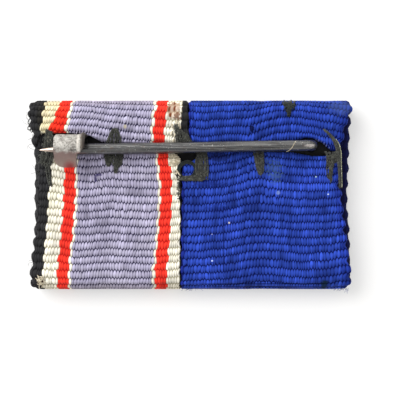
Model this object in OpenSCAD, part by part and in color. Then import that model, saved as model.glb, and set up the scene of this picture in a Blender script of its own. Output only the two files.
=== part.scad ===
// Two-place ribbon bar, lying face down with its pin on top.
// X runs along the bar, Y across it and Z up, with the cloth front on the plane Z = 0.
// All sizes are in millimetres.

/* [Bar] */
// Length over both ribbons
bar_length = 31; // [29:0.2:34]
// Width across the two folds
bar_width = 18.2; // [16:0.2:20]

/* [Cloth] */
// Thickness of one layer of ribbon
cloth = 1; // [0.8:0.1:1.2]
// Gap between the cloth and the plate, and between the two ribbons
gap = 0.1; // [0.08:0.01:0.15]
// Radius of the rounded hems and selvages
hem_radius = 0.4; // [0.2:0.05:0.5]

/* [Plate] */
// Thickness of the sheet inside the cloth
plate_thick = 0.8; // [0.7:0.1:1]
// Radius of the plate's corners
plate_corner = 1.5; // [0.5:0.1:3]
// Distance from the plate's ends to the ends of the bar
plate_inset = 1.6; // [1.5:0.1:3]

/* [Pin] */
// Radius of the wire
wire_radius = 0.52; // [0.45:0.01:0.55]
// Gap between the wire and the cloth below it
pin_gap = 0.25; // [0.2:0.05:0.4]
// Radius of the elbow along the middle of the wire
elbow_radius = 0.75; // [0.6:0.05:0.9]
// Distance from the middle of the bar to the leg
leg_x = 11.6; // [11:0.1:11.8]
// Height of the leg above the middle of the bar
leg_y = 4.69; // [4.6:0.01:4.75]
// Angle of the closed pin to the length of the bar
pin_angle = 1; // [0.5:0.1:1.5]
// Length from the leg to the point
pin_length = 25.9; // [25:0.1:26.2]
// Length from the leg to the place where the taper starts
straight_length = 21.4; // [20:0.1:22]
// Radial clearance of the leg in its hole
leg_clearance = 0.05; // [0.03:0.01:0.08]
// Radius of the flattened head under the plate
head_radius = 0.85; // [0.7:0.05:1]
// Thickness of that head
head_thick = 0.28; // [0.2:0.02:0.3]

/* [Catch] */
// Thickness of the catch's sheet
catch_sheet = 0.35; // [0.3:0.05:0.4]
// Length of the catch along the bar
catch_length = 2.5; // [2:0.1:3]
// Place of the catch's middle along the bar
catch_x = -11.46; // [-11.8:0.01:-11]
// Height of its back wall above the middle of the bar
catch_back_y = 5.65; // [5.5:0.05:5.7]
// Height of its lip above the middle of the bar
catch_lip_y = 2.55; // [2.4:0.05:2.8]
// Outer radius of the bend over the pin
catch_bend = 1.1; // [1:0.05:1.2]
// Slope of the lip
lip_slope = 35; // [30:1:36]
// Clearance between the pin and the lip as the pin swings out
lip_clearance = 0.12; // [0.1:0.01:0.3]
// Radius of the lip's outer corner
lip_corner = 0.9; // [0.5:0.1:1.1]

/* [Hidden] */

$fn = 48;
// Overlap of joined shapes, and how far a cutting shape reaches past what it cuts
tiny = 0.01;
margin = 1;

half_length = bar_length / 2;
half_width = bar_width / 2;
fold_mid = (plate_thick + cloth) / 2 + gap;
bar_thick = 2 * fold_mid + cloth;
fold_y = half_width - fold_mid - cloth / 2;
middle_z = bar_thick / 2;
plate_low = middle_z - plate_thick / 2;
plate_top = middle_z + plate_thick / 2;
pin_z = bar_thick + pin_gap + wire_radius;

// Edges of the cloth as insets from the ends of the bar, a row for each height across it.
// Columns: share of half the width, left back, left front, right back, right front.
AT = 0;
LEFT_BACK = 1;
LEFT_FRONT = 2;
RIGHT_BACK = 3;
RIGHT_FRONT = 4;
edge_rows = [
    [-1.00, 1.05, 1.05, 1.20, 1.20],
    [-0.96, 0.52, 0.52, 0.52, 0.52],
    [-0.91, 0.20, 0.20, 0.18, 0.12],
    [-0.80, 0.28, 0.22, 0.25, 0.00],
    [-0.60, 0.42, 0.28, 0.48, 0.05],
    [-0.37, 0.78, 0.35, 0.76, 0.10],
    [-0.05, 0.90, 0.35, 1.05, 0.35],
    [ 0.10, 0.95, 0.35, 1.34, 0.25],
    [ 0.30, 1.00, 0.35, 1.34, 0.20],
    [ 0.44, 1.02, 0.32, 1.30, 0.18],
    [ 0.52, 0.50, 0.28, 1.10, 0.12],
    [ 0.70, 0.28, 0.22, 0.80, 0.05],
    [ 0.83, 0.00, 0.10, 0.36, 0.00],
    [ 0.92, 0.08, 0.12, 0.05, 0.00],
    [ 0.96, 0.42, 0.42, 0.42, 0.42],
    [ 1.00, 0.95, 0.95, 1.20, 1.20]
];

// Line where the two ribbons meet on the back. Columns: share of half the width, place in X.
boundary_rows = [
    [-1.00, -0.95],
    [ 0.00, -0.86],
    [ 0.30, -0.86],
    [ 0.44, -0.60],
    [ 0.52,  0.05],
    [ 0.62, -0.15],
    [ 1.00, -0.20]
];

// The open seam on the back. Columns: place in X, hem of the lower flap, hem of the upper flap.
LOWER_HEM = 1;
UPPER_HEM = 2;
seam_rows = [
    [-15.0, 3.90, 4.45],
    [-14.0, 3.85, 4.75],
    [-13.2, 3.90, 5.90],
    [ -9.8, 3.90, 5.90],
    [ -8.7, 3.90, 5.60],
    [ -7.7, 3.85, 5.20],
    [ -1.5, 3.95, 5.15],
    [ -0.6, 3.10, 5.15],
    [  0.5, 3.10, 5.15],
    [  1.4, 3.90, 5.15],
    [ 10.4, 3.80, 5.45],
    [ 11.6, 3.60, 5.45],
    [ 12.6, 3.65, 5.00],
    [ 13.5, 3.70, 4.20],
    [ 15.0, 3.70, 4.05]
];

// Places where the cloth stands off the plate on the back.
// Columns: place in X, place in Y, reach in X, reach in Y, height.
pucker_rows = [
    [ -7.3,  0.8, 2.4, 1.3, 0.14],
    [ -7.4,  7.0, 1.8, 0.8, 0.16],
    [ -3.2,  1.0, 1.4, 1.8, 0.08],
    [  3.8,  1.6, 1.9, 1.2, 0.14],
    [  7.6,  7.1, 1.9, 0.8, 0.18],
    [  9.4, -1.5, 2.6, 2.0, 0.10],
    [ 13.6, -5.0, 0.9, 3.0, 0.12],
    [-13.4, -5.5, 0.9, 2.6, 0.10]
];

// Zones of a ribbon, in order from its lower hem round the bar to its upper hem
LOWER_FLAP = 0;
BOTTOM_FOLD = 1;
FRONT = 2;
TOP_FOLD = 3;
UPPER_FLAP = 4;
// Columns: zone, number of steps
zone_rows = [
    [LOWER_FLAP, 15],
    [BOTTOM_FOLD, 7],
    [FRONT, 10],
    [TOP_FOLD, 7],
    [UPPER_FLAP, 6]
];
columns = 20;
// Extra steps close to the hems, as shares of their zones
lower_hem_steps = [0, 0.012, 0.035];
upper_hem_steps = [0.93, 0.98, 1];
// Share of a ribbon's width between a selvage and the next column of points
selvage_share = 0.02;
// Share of the full thickness that is left at the very edge of the cloth
edge_share = 0.35;

// The outline of the pin, from its point to the end of its straight part.
// Columns: share of the tapered length, share of the wire's radius.
taper_rows = [
    [0.00, 0.05],
    [0.06, 0.20],
    [0.32, 0.56],
    [0.70, 0.86],
    [1.00, 1.00]
];

function mix(a, b, share) = a + (b - a) * share;

function column_of(table, column) = [for (row = table) [row[AT], row[column]]];

function edge(y, column) = lookup(y / half_width, column_of(edge_rows, column));

function boundary(y) = lookup(y / half_width, boundary_rows);

function seam(x, column) = lookup(x, column_of(seam_rows, column));

function pucker(x, y) =
    let (heights = [for (row = pucker_rows)
        row[4] * exp(-pow((x - row[0]) / row[2], 2) - pow((y - row[1]) / row[3], 2))])
    heights * [for (height = heights) 1];

// Left and right edges of the whole bar at height y, with back = 1 on the back and 0 in front
function bar_left(y, back) = -half_length + mix(edge(y, LEFT_FRONT), edge(y, LEFT_BACK), back);

function bar_right(y, back) = half_length - mix(edge(y, RIGHT_FRONT), edge(y, RIGHT_BACK), back);

// Edges of one ribbon, side being -1 for the left one and 1 for the right one
function ribbon_left(side, y, back) = side < 0 ? bar_left(y, back) : boundary(y) * back + gap / 2;

function ribbon_right(side, y, back) = side < 0 ? boundary(y) * back - gap / 2 : bar_right(y, back);

// How far across a ribbon each column of points lies: close together beside the selvages
function across(column) =
    column == 0 ? 0 :
    column == columns ? 1 :
    mix(selvage_share, 1 - selvage_share, (column - 1) / (columns - 2));

// Rounds an edge: the share of the full thickness at a distance from it
function hem(distance) =
    let (share = min(1, max(0, distance / hem_radius)))
    mix(edge_share, 1, sqrt(1 - pow(1 - share, 2)));

// Steps along the ribbon, each as [zone, share of the zone]
stations = concat(
    [for (share = lower_hem_steps) [LOWER_FLAP, share]],
    [for (row = zone_rows, step = [1:row[1]])
        if (row[0] != UPPER_FLAP || step < row[1]) [row[0], step / row[1]]],
    [for (share = upper_hem_steps) [UPPER_FLAP, share]]
);

// Middle of the cloth at one point, as [y, z, slope of the outward normal in degrees, back]
function middle(zone, share, x) =
    zone == LOWER_FLAP ?
        [mix(seam(x, LOWER_HEM), -fold_y, share), middle_z + fold_mid, 90, 1] :
    zone == BOTTOM_FOLD ?
        fold_point(-fold_y, 90 + 180 * share) :
    zone == FRONT ?
        [mix(-fold_y, fold_y, share), middle_z - fold_mid, 270, 0] :
    zone == TOP_FOLD ?
        fold_point(fold_y, 270 + 180 * share) :
        [mix(fold_y, seam(x, UPPER_HEM), share), middle_z + fold_mid, 90, 1];

function fold_point(y, slope) =
    [y + fold_mid * cos(slope), middle_z + fold_mid * sin(slope), slope, (1 + sin(slope)) / 2];

// Distance to the nearest hem along the cloth
function hem_distance(zone, share) =
    zone == LOWER_FLAP ? share * (fold_y + seam(0, LOWER_HEM)) :
    zone == UPPER_FLAP ? (1 - share) * (fold_y - seam(0, UPPER_HEM)) :
    hem_radius;

// A point on the outer (face = 1) or inner (face = -1) side of a ribbon
function cloth_point(side, station, column, face) =
    let (
        zone = station[0],
        share = station[1],
        seam_x = mix(ribbon_left(side, leg_y, 1), ribbon_right(side, leg_y, 1), across(column)),
        place = middle(zone, share, seam_x),
        left = ribbon_left(side, place[0], place[3]),
        right = ribbon_right(side, place[0], place[3]),
        x = mix(left, right, across(column)),
        selvage = min(across(column), 1 - across(column)) * (right - left),
        half = cloth / 2 * min(hem(selvage), hem(hem_distance(zone, share))),
        lift = place[3] * pucker(x, place[0])
    )
    [
        x,
        place[0] + face * half * cos(place[2]),
        place[1] + face * half * sin(place[2]) + lift
    ];

// A closed band of cloth, as a grid of points on its outer side and one on its inner side
module ribbon(side) {
    across_count = columns + 1;
    along_count = len(stations);
    side_count = across_count * along_count;
    points = [for (face = [1, -1], station = stations, column = [0:columns])
        cloth_point(side, station, column, face)];
    outer_faces = [for (i = [0:along_count - 2], j = [0:columns - 1])
        let (a = i * across_count + j)
        [a, a + 1, a + across_count + 1, a + across_count]];
    inner_faces = [for (face = outer_faces)
        [for (k = [3:-1:0]) face[k] + side_count]];
    rim = concat(
        [for (j = [0:columns - 1]) j],
        [for (i = [0:along_count - 2]) i * across_count + columns],
        [for (j = [columns:-1:1]) (along_count - 1) * across_count + j],
        [for (i = [along_count - 1:-1:1]) i * across_count]
    );
    rim_faces = [for (k = [0:len(rim) - 1])
        let (a = rim[k], b = rim[(k + 1) % len(rim)])
        [b, a, a + side_count, b + side_count]];
    polyhedron(points = points, faces = concat(outer_faces, inner_faces, rim_faces), convexity = 8);
}

// A rounded sheet lying in the hollow of both ribbons
module plate_sheet() {
    x = half_length - plate_inset - plate_corner;
    y = fold_y - plate_corner;
    translate([0, 0, plate_low])
        linear_extrude(plate_thick)
            union() {
                square([2 * x, 2 * (y + plate_corner)], center = true);
                square([2 * (x + plate_corner), 2 * y], center = true);
                for (sx = [-1, 1], sy = [-1, 1])
                    translate([sx * x, sy * y])
                        circle(plate_corner);
            }
}

// Hole for the pin's leg, with a recess for its head on the front side of the plate
module leg_hole() {
    recess = head_thick + 2 * leg_clearance;
    translate([leg_x, leg_y, plate_low - tiny]) {
        cylinder(h = plate_thick + 2 * tiny, r = wire_radius + leg_clearance);
        cylinder(h = recess + tiny, r = head_radius + 2 * leg_clearance);
    }
}

// Cut through the catch: foot, back wall, bend over the pin and sloping lip, in Y and Z
module catch_profile() {
    lip_run = catch_back_y - catch_bend - catch_bend * sin(lip_slope) - catch_lip_y;
    lip_length = lip_run / cos(lip_slope);
    inner_drop = catch_sheet * cos(lip_slope) - catch_bend * cos(lip_slope);
    lip_low = pin_z + wire_radius + lip_clearance;
    bend_z = lip_low + lip_length * sin(lip_slope) + inner_drop;
    wall_y = catch_back_y - catch_sheet;
    foot_y = leg_y - wire_radius;
    translate([foot_y, plate_top - tiny])
        square([catch_back_y - foot_y, catch_sheet + tiny]);
    translate([wall_y, plate_top - tiny])
        square([catch_sheet, bend_z - plate_top + tiny]);
    translate([catch_back_y - catch_bend, bend_z]) {
        intersection() {
            difference() {
                circle(catch_bend, $fn = 96);
                circle(catch_bend - catch_sheet, $fn = 96);
            }
            polygon([
                [0, 0],
                [2 * catch_bend, 0],
                [2 * catch_bend, 2 * catch_bend],
                [-2 * catch_bend * tan(lip_slope), 2 * catch_bend]
            ]);
        }
        rotate(lip_slope)
            translate([-lip_length, catch_bend - catch_sheet])
                square([lip_length, catch_sheet]);
    }
}

// Outline of the catch seen from above, with a rounded corner at the pin's point
module catch_outline() {
    left = catch_x - catch_length / 2;
    low = catch_lip_y - margin;
    difference() {
        translate([left, low])
            square([catch_length, catch_back_y + margin - low]);
        difference() {
            translate([left - margin, low])
                square(lip_corner + margin);
            translate([left + lip_corner, catch_lip_y + lip_corner])
                circle(lip_corner);
        }
    }
}

module catch_hood() {
    intersection() {
        translate([catch_x + catch_length / 2, 0, 0])
            rotate([90, 0, -90])
                mirror([1, 0, 0])
                    linear_extrude(catch_length)
                        catch_profile();
        linear_extrude(pin_z + catch_back_y)
            catch_outline();
    }
}

module plate_and_catch() {
    color("silver")
        difference() {
            union() {
                plate_sheet();
                catch_hood();
            }
            leg_hole();
        }
}

// The wire from its point to the elbow, along the X axis with the leg at the origin
module wire_shaft() {
    taper_length = pin_length - straight_length;
    outline = concat(
        [[0, 0]],
        [for (row = taper_rows) [row[1] * wire_radius, row[0] * taper_length]],
        [[wire_radius, pin_length - elbow_radius], [0, pin_length - elbow_radius]]
    );
    translate([-pin_length, 0, 0])
        rotate([0, 90, 0])
            rotate_extrude()
                polygon(outline);
}

module wire_elbow() {
    translate([-elbow_radius, 0, -elbow_radius])
        rotate([90, 0, 0])
            rotate_extrude(angle = 90)
                translate([elbow_radius, 0])
                    circle(wire_radius);
}

module pin() {
    leg_low = plate_low + leg_clearance;
    leg_top = pin_z - elbow_radius;
    color("dimgray")
        translate([leg_x, leg_y, 0])
            rotate(pin_angle) {
                translate([0, 0, pin_z]) {
                    wire_shaft();
                    wire_elbow();
                }
                translate([0, 0, leg_low]) {
                    cylinder(h = leg_top - leg_low, r = wire_radius);
                    cylinder(h = head_thick, r = head_radius);
                }
            }
}

module striped_ribbon() {
    color("thistle")
        ribbon(-1);
}

module blue_ribbon() {
    color("mediumblue")
        ribbon(1);
}

plate_and_catch();
pin();
striped_ribbon();
blue_ribbon();
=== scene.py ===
"""Two-place ribbon bar, lying face down: two rep ribbons sewn round a plate, with a wire pin.

Sizes in the classes are millimetres. They become metres when a mesh is made.
"""

import logging
import math
from dataclasses import dataclass, replace
from enum import Enum

import bmesh
import bpy
import numpy as np
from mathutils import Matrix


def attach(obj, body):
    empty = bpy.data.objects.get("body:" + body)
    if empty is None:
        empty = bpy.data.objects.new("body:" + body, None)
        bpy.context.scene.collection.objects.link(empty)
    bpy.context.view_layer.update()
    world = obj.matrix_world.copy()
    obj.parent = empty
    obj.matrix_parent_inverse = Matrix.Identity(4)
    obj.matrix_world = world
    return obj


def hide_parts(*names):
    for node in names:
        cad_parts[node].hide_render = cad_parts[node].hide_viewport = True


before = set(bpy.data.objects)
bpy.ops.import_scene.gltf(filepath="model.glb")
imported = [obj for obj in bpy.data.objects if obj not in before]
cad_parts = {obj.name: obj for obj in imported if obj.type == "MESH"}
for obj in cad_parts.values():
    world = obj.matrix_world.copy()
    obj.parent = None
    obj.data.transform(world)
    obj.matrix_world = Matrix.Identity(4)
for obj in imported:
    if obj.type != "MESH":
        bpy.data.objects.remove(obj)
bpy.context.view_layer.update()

MM = 0.001
LOG = logging.getLogger("ribbon_bar")
Colour = tuple[float, float, float]
Point = tuple[float, float, float]
Inputs = dict[int | str, object]


# Small helpers for numbers, colours and node trees

# Light that cloth sends back, as a share of what paper of the same tone does
CLOTH_SHARE = 0.92


def linear(red: int, green: int, blue: int) -> Colour:
    """Turns red, green and blue of 0 to 255 into the linear values that shaders use."""
    shares = [value / 255 for value in (red, green, blue)]
    return tuple(share / 12.92 if share <= 0.04045 else ((share + 0.055) / 1.055) ** 2.4 for share in shares)


def dyed(red: int, green: int, blue: int) -> Colour:
    """Linear colour of cloth or thread, which is duller than the paper it lies on."""
    return tuple(CLOTH_SHARE * value for value in linear(red, green, blue))


def eased(value: np.ndarray, low: float, high: float) -> np.ndarray:
    """A share that rises smoothly from 0 at a low value to 1 at a high one."""
    share = np.clip((value - low) / (high - low), 0, 1)
    return share * share * (3 - 2 * share)


def plug(tree: bpy.types.NodeTree, value: object, socket: bpy.types.NodeSocket) -> None:
    """Links a wire to a socket, or sets the socket's own value.

    Args:
        tree: Tree that holds the socket.
        value: A Wire, a number, a colour or a vector.
        socket: Input to fill.
    """
    if isinstance(value, Wire):
        tree.links.new(value.socket, socket)
    elif socket.type == "RGBA":
        socket.default_value = (*value[:3], 1.0)
    else:
        socket.default_value = value


class Wire:
    """An output in a node tree that can be added, scaled and compared like a number."""

    def __init__(self, tree: bpy.types.NodeTree, socket: bpy.types.NodeSocket) -> None:
        """Keeps the tree and the output."""
        self.tree = tree
        self.socket = socket

    def math(self, operation: str, *others: object) -> "Wire":
        """Sends this value, with any other inputs, through a Math node."""
        return Board(self.tree).wire("ShaderNodeMath", dict(enumerate((self, *others))), operation=operation)

    def __add__(self, other: object) -> "Wire":
        """Adds."""
        return self.math("ADD", other)

    def __sub__(self, other: object) -> "Wire":
        """Subtracts."""
        return self.math("SUBTRACT", other)

    def __mul__(self, other: object) -> "Wire":
        """Multiplies."""
        return self.math("MULTIPLY", other)

    def __truediv__(self, other: object) -> "Wire":
        """Divides."""
        return self.math("DIVIDE", other)

    def flipped(self) -> "Wire":
        """One minus this value."""
        return self.math("MULTIPLY_ADD", -1.0, 1.0)

    def clamped(self) -> "Wire":
        """This value, held between 0 and 1."""
        return Board(self.tree).wire("ShaderNodeClamp", {0: self})

    def ramp(self, low: float, high: float, to_low: float = 0.0, to_high: float = 1.0) -> "Wire":
        """Maps the range from low to high smoothly to another."""
        given = dict(enumerate((self, low, high, to_low, to_high)))
        return Board(self.tree).wire("ShaderNodeMapRange", given, interpolation_type="SMOOTHSTEP")


class Blend(Enum):
    """Ways to lay one colour over another."""

    MIX = "MIX"
    MULTIPLY = "MULTIPLY"


class Board:
    """A node tree with short calls for the nodes that this part's finishes use."""

    def __init__(self, tree: bpy.types.NodeTree) -> None:
        """Keeps the tree."""
        self.tree = tree

    def feed(self, node: bpy.types.Node, inputs: Inputs) -> None:
        """Fills inputs of a node with values or wires, by socket name or number."""
        for key, value in inputs.items():
            plug(self.tree, value, node.inputs[key])

    def node(self, kind: str, inputs: Inputs | None = None, **settings: object) -> bpy.types.Node:
        """Adds a node.

        Args:
            kind: The node's type name.
            inputs: Values or wires by socket name or number.
            settings: The node's own properties.

        Returns:
            The new node.
        """
        made = self.tree.nodes.new(kind)
        for key, value in settings.items():
            setattr(made, key, value)
        self.feed(made, inputs or {})
        return made

    def wire(self, kind: str, inputs: Inputs | None = None, out: int | str = 0, **settings: object) -> Wire:
        """Adds a node and gives one of its outputs."""
        return Wire(self.tree, self.node(kind, inputs, **settings).outputs[out])

    def place(self) -> Wire:
        """The surface point in the object's own frame, in metres."""
        return self.wire("ShaderNodeTexCoord", out="Object")

    def split(self, vector: Wire) -> tuple[Wire, Wire, Wire]:
        """The three parts of a vector."""
        node = self.node("ShaderNodeSeparateXYZ", {"Vector": vector})
        return tuple(Wire(self.tree, node.outputs[k]) for k in range(3))

    def join(self, x: object, y: object, z: object = 0.0) -> Wire:
        """A vector from three parts."""
        return self.wire("ShaderNodeCombineXYZ", {"X": x, "Y": y, "Z": z})

    def noise(self, vector: Wire, scale: float, detail: float = 2.0, roughness: float = 0.5) -> Wire:
        """Soft noise from 0 to 1, by its bumps to the unit, its finer layers and their strength."""
        return self.wire("ShaderNodeTexNoise", {
            "Vector": vector, "Scale": scale, "Detail": detail, "Roughness": roughness})

    def vector(self, operation: str, first: Wire, second: object) -> Wire:
        """Sends two vectors through a Vector Math node."""
        return self.wire("ShaderNodeVectorMath", {0: first, 1: second}, operation=operation)

    def scaled(self, vector: Wire, factor: Wire) -> Wire:
        """A vector or colour times a number."""
        return self.wire("ShaderNodeVectorMath", {0: vector, "Scale": factor}, operation="SCALE")

    def bump(self, height: Wire, strength: float, depth: float) -> Wire:
        """A normal bent by a relief, with the depth of a relief of 1 in millimetres."""
        return self.wire(
            "ShaderNodeBump", {"Height": height, "Strength": strength, "Distance": depth * MM}, out="Normal")

    def mix(self, share: object, first: object, second: object, blend: Blend = Blend.MIX) -> Wire:
        """Mixes two colours.

        Args:
            share: Share of the second one.
            first: Colour or wire.
            second: Colour or wire.
            blend: How the second is laid over the first.

        Returns:
            The mixed colour.
        """
        node = self.node("ShaderNodeMix", data_type="RGBA", blend_type=blend.value)
        for key, value in (("Factor_Float", share), ("A_Color", first), ("B_Color", second)):
            plug(self.tree, value, next(s for s in node.inputs if s.identifier == key))
        return Wire(self.tree, next(s for s in node.outputs if s.identifier == "Result_Color"))

    def steps(self, value: Wire, stops: list[tuple[float, Colour]]) -> Wire:
        """Colours that change in hard steps.

        Args:
            value: Position from 0 to 1.
            stops: Start of each colour, and the colour.

        Returns:
            The colour at the position.
        """
        node = self.node("ShaderNodeValToRGB", {"Fac": value})
        bands = node.color_ramp
        bands.interpolation = "CONSTANT"
        while len(bands.elements) < len(stops):
            bands.elements.new(1.0)
        for element, (start, colour) in zip(bands.elements, stops):
            element.position = start
            element.color = (*colour, 1.0)
        return Wire(self.tree, node.outputs[0])

    def group(self, tree: bpy.types.NodeTree, inputs: dict[str, object]) -> dict[str, Wire]:
        """Places a node group and gives all its outputs by name."""
        made = self.node("ShaderNodeGroup", inputs, node_tree=tree)
        return {s.name: Wire(self.tree, s) for s in made.outputs}


def new_material(name: str) -> tuple[bpy.types.Material, Board, bpy.types.Node]:
    """Starts a material.

    Args:
        name: Name of the material.

    Returns:
        The material, the board of its tree, and its surface shader.
    """
    made = bpy.data.materials.new(name)
    made.use_nodes = True
    return made, Board(made.node_tree), made.node_tree.nodes["Principled BSDF"]


# Type of socket for each type of default value
SOCKETS = {tuple: "NodeSocketVector", float: "NodeSocketFloat", int: "NodeSocketInt"}


def new_group(
    name: str, inputs: dict[str, object], outputs: tuple[str, ...],
) -> tuple[Board, dict[str, Wire], bpy.types.Node]:
    """Starts a shader node group.

    Args:
        name: Name of the group.
        inputs: Default value of each input by name: a number, or three for a vector.
        outputs: Names of the number outputs.

    Returns:
        The board, the inputs as wires, and the output node.
    """
    tree = bpy.data.node_groups.new(name, "ShaderNodeTree")
    for key, value in inputs.items():
        tree.interface.new_socket(key, in_out="INPUT", socket_type=SOCKETS[type(value)]).default_value = value
    for key in outputs:
        tree.interface.new_socket(key, in_out="OUTPUT", socket_type="NodeSocketFloat")
    start = tree.nodes.new("NodeGroupInput")
    end = tree.nodes.new("NodeGroupOutput")
    return Board(tree), {s.name: Wire(tree, s) for s in start.outputs if s.name}, end


# Shared surface effects


class Effects:
    """Shader groups that more than one finish uses, each built once."""

    # How far a warp float reaches from the middle of its rib, in ribs
    REACH = 0.57
    # How suddenly a float narrows towards its ends
    BLUNT = 2.9
    # Least width of a float, as a share of its full width
    THIN = 0.001
    # Lean of each layer of scratches, and its lines to the metre
    LAYERS = ((0.0, 9000.0), (0.12, 15000.0))
    # Breaks of a scratch to the metre
    BREAKS = 350.0

    def __init__(self) -> None:
        """Builds the groups."""
        self.weave = self._weave()
        self.patch = self._patch()
        self.scratches = self._scratches()

    def _weave(self) -> bpy.types.NodeTree:
        """Warp floats of a rep weave. Every rib shows the ends of one parity only.

        Returns:
            The group, whose numbers say which float shows and how high it stands.
        """
        board, given, out = new_group(
            "rep_weave", {"Ends": 0.0, "Ribs": 0.0, "Slant": 0.1}, ("Height", "Gap", "End", "Rib"))
        ends, ribs, slant = given["Ends"], given["Ribs"], given["Slant"]
        near = ribs.math("FLOOR")
        along = ribs - near - 0.5
        side = along.math("SIGN")
        found = []
        for rib, offset in ((near, along), (near + side, along - side)):
            parity = rib.math("FLOORED_MODULO", 2.0)
            at = (ends - parity) * 0.5 + slant * offset
            number = (at + 0.5).math("FLOOR")
            taper = (offset / self.REACH).math("ABSOLUTE").math("POWER", self.BLUNT)
            taper = taper.flipped().math("MAXIMUM", self.THIN)
            across = ((at - number) / (taper * 0.5)).math("POWER", 2.0).flipped().math("MAXIMUM", 0.0)
            found.append((taper * across.math("POWER", 0.5), number * 2.0 + parity, rib))
        (first, end_a, rib_a), (second, end_b, rib_b) = found
        chosen = second.math("GREATER_THAN", first)
        height = first.math("MAXIMUM", second)
        board.feed(out, {
            "Height": height,
            "Gap": height.ramp(0.10, 0.48).flipped(),
            "End": end_a + (end_b - end_a) * chosen,
            "Rib": rib_a + (rib_b - rib_a) * chosen,
        })
        return board.tree

    def _patch(self) -> bpy.types.NodeTree:
        """A ragged round patch at a place in the object's frame, for stains and dirt, and for painted shade,
        highlights and reflections.

        Returns:
            The group, which puts out a mask.
        """
        board, given, out = new_group("ragged_patch", {
            "Centre": (0.0, 0.0, 0.0), "Reach": (1.0, 1.0, 1.0), "Ragged": 0.5, "Soft": 0.3, "Grain": 5000.0,
        }, ("Mask",))
        place = board.place()
        away = board.vector("SUBTRACT", place, given["Centre"])
        away = board.vector("DIVIDE", away, given["Reach"])
        far = board.wire("ShaderNodeVectorMath", {0: away}, out="Value", operation="LENGTH")
        rough = board.wire("ShaderNodeTexNoise", {"Vector": place, "Scale": given["Grain"], "Detail": 2.0})
        far = far + (rough - 0.5) * given["Ragged"] * 2.0
        mask = ((far - 1.05) / given["Soft"] * -1.0).clamped()
        board.feed(out, {"Mask": mask.ramp(0.0, 1.0)})
        return board.tree

    def _scratches(self) -> bpy.types.NodeTree:
        """Scratches along X and dull mottling, for drawn wire and worn sheet.

        Returns:
            The group, which puts out both as numbers from 0 to 1.
        """
        board, given, out = new_group(
            "scratches", {"Length": 1.0, "Size": 1.0}, ("Lines", "Mottle"))
        x, y, z = board.split(board.place())
        lines = []
        for lean, pitch in self.LAYERS:
            run, size = (x + y * lean) * self.BREAKS / given["Length"], given["Size"]
            lines.append(board.noise(board.join(run, y * pitch * size, z * pitch * size), 1.0, 3.0, 0.6))
        board.feed(out, {
            "Lines": (lines[0] + lines[1]) * 0.5,
            "Mottle": board.noise(board.place(), 2600.0, 4.0, 0.65),
        })
        return board.tree

    def spot(self, board: Board, centre: Point, reach: Point, ragged: float, soft: float = 0.3) -> Wire:
        """Mask of one ragged patch. Centre and reach are in millimetres, soft is the width of its edge."""
        return board.group(self.patch, {
            "Centre": tuple(v * MM for v in centre), "Reach": tuple(v * MM for v in reach),
            "Ragged": ragged, "Soft": soft})["Mask"]


# The bar's shape, which the cloth, the thread and the fibres share


class Side(Enum):
    """Which of the two ribbons."""

    STRIPED = "striped"
    BLUE = "blue"


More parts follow.
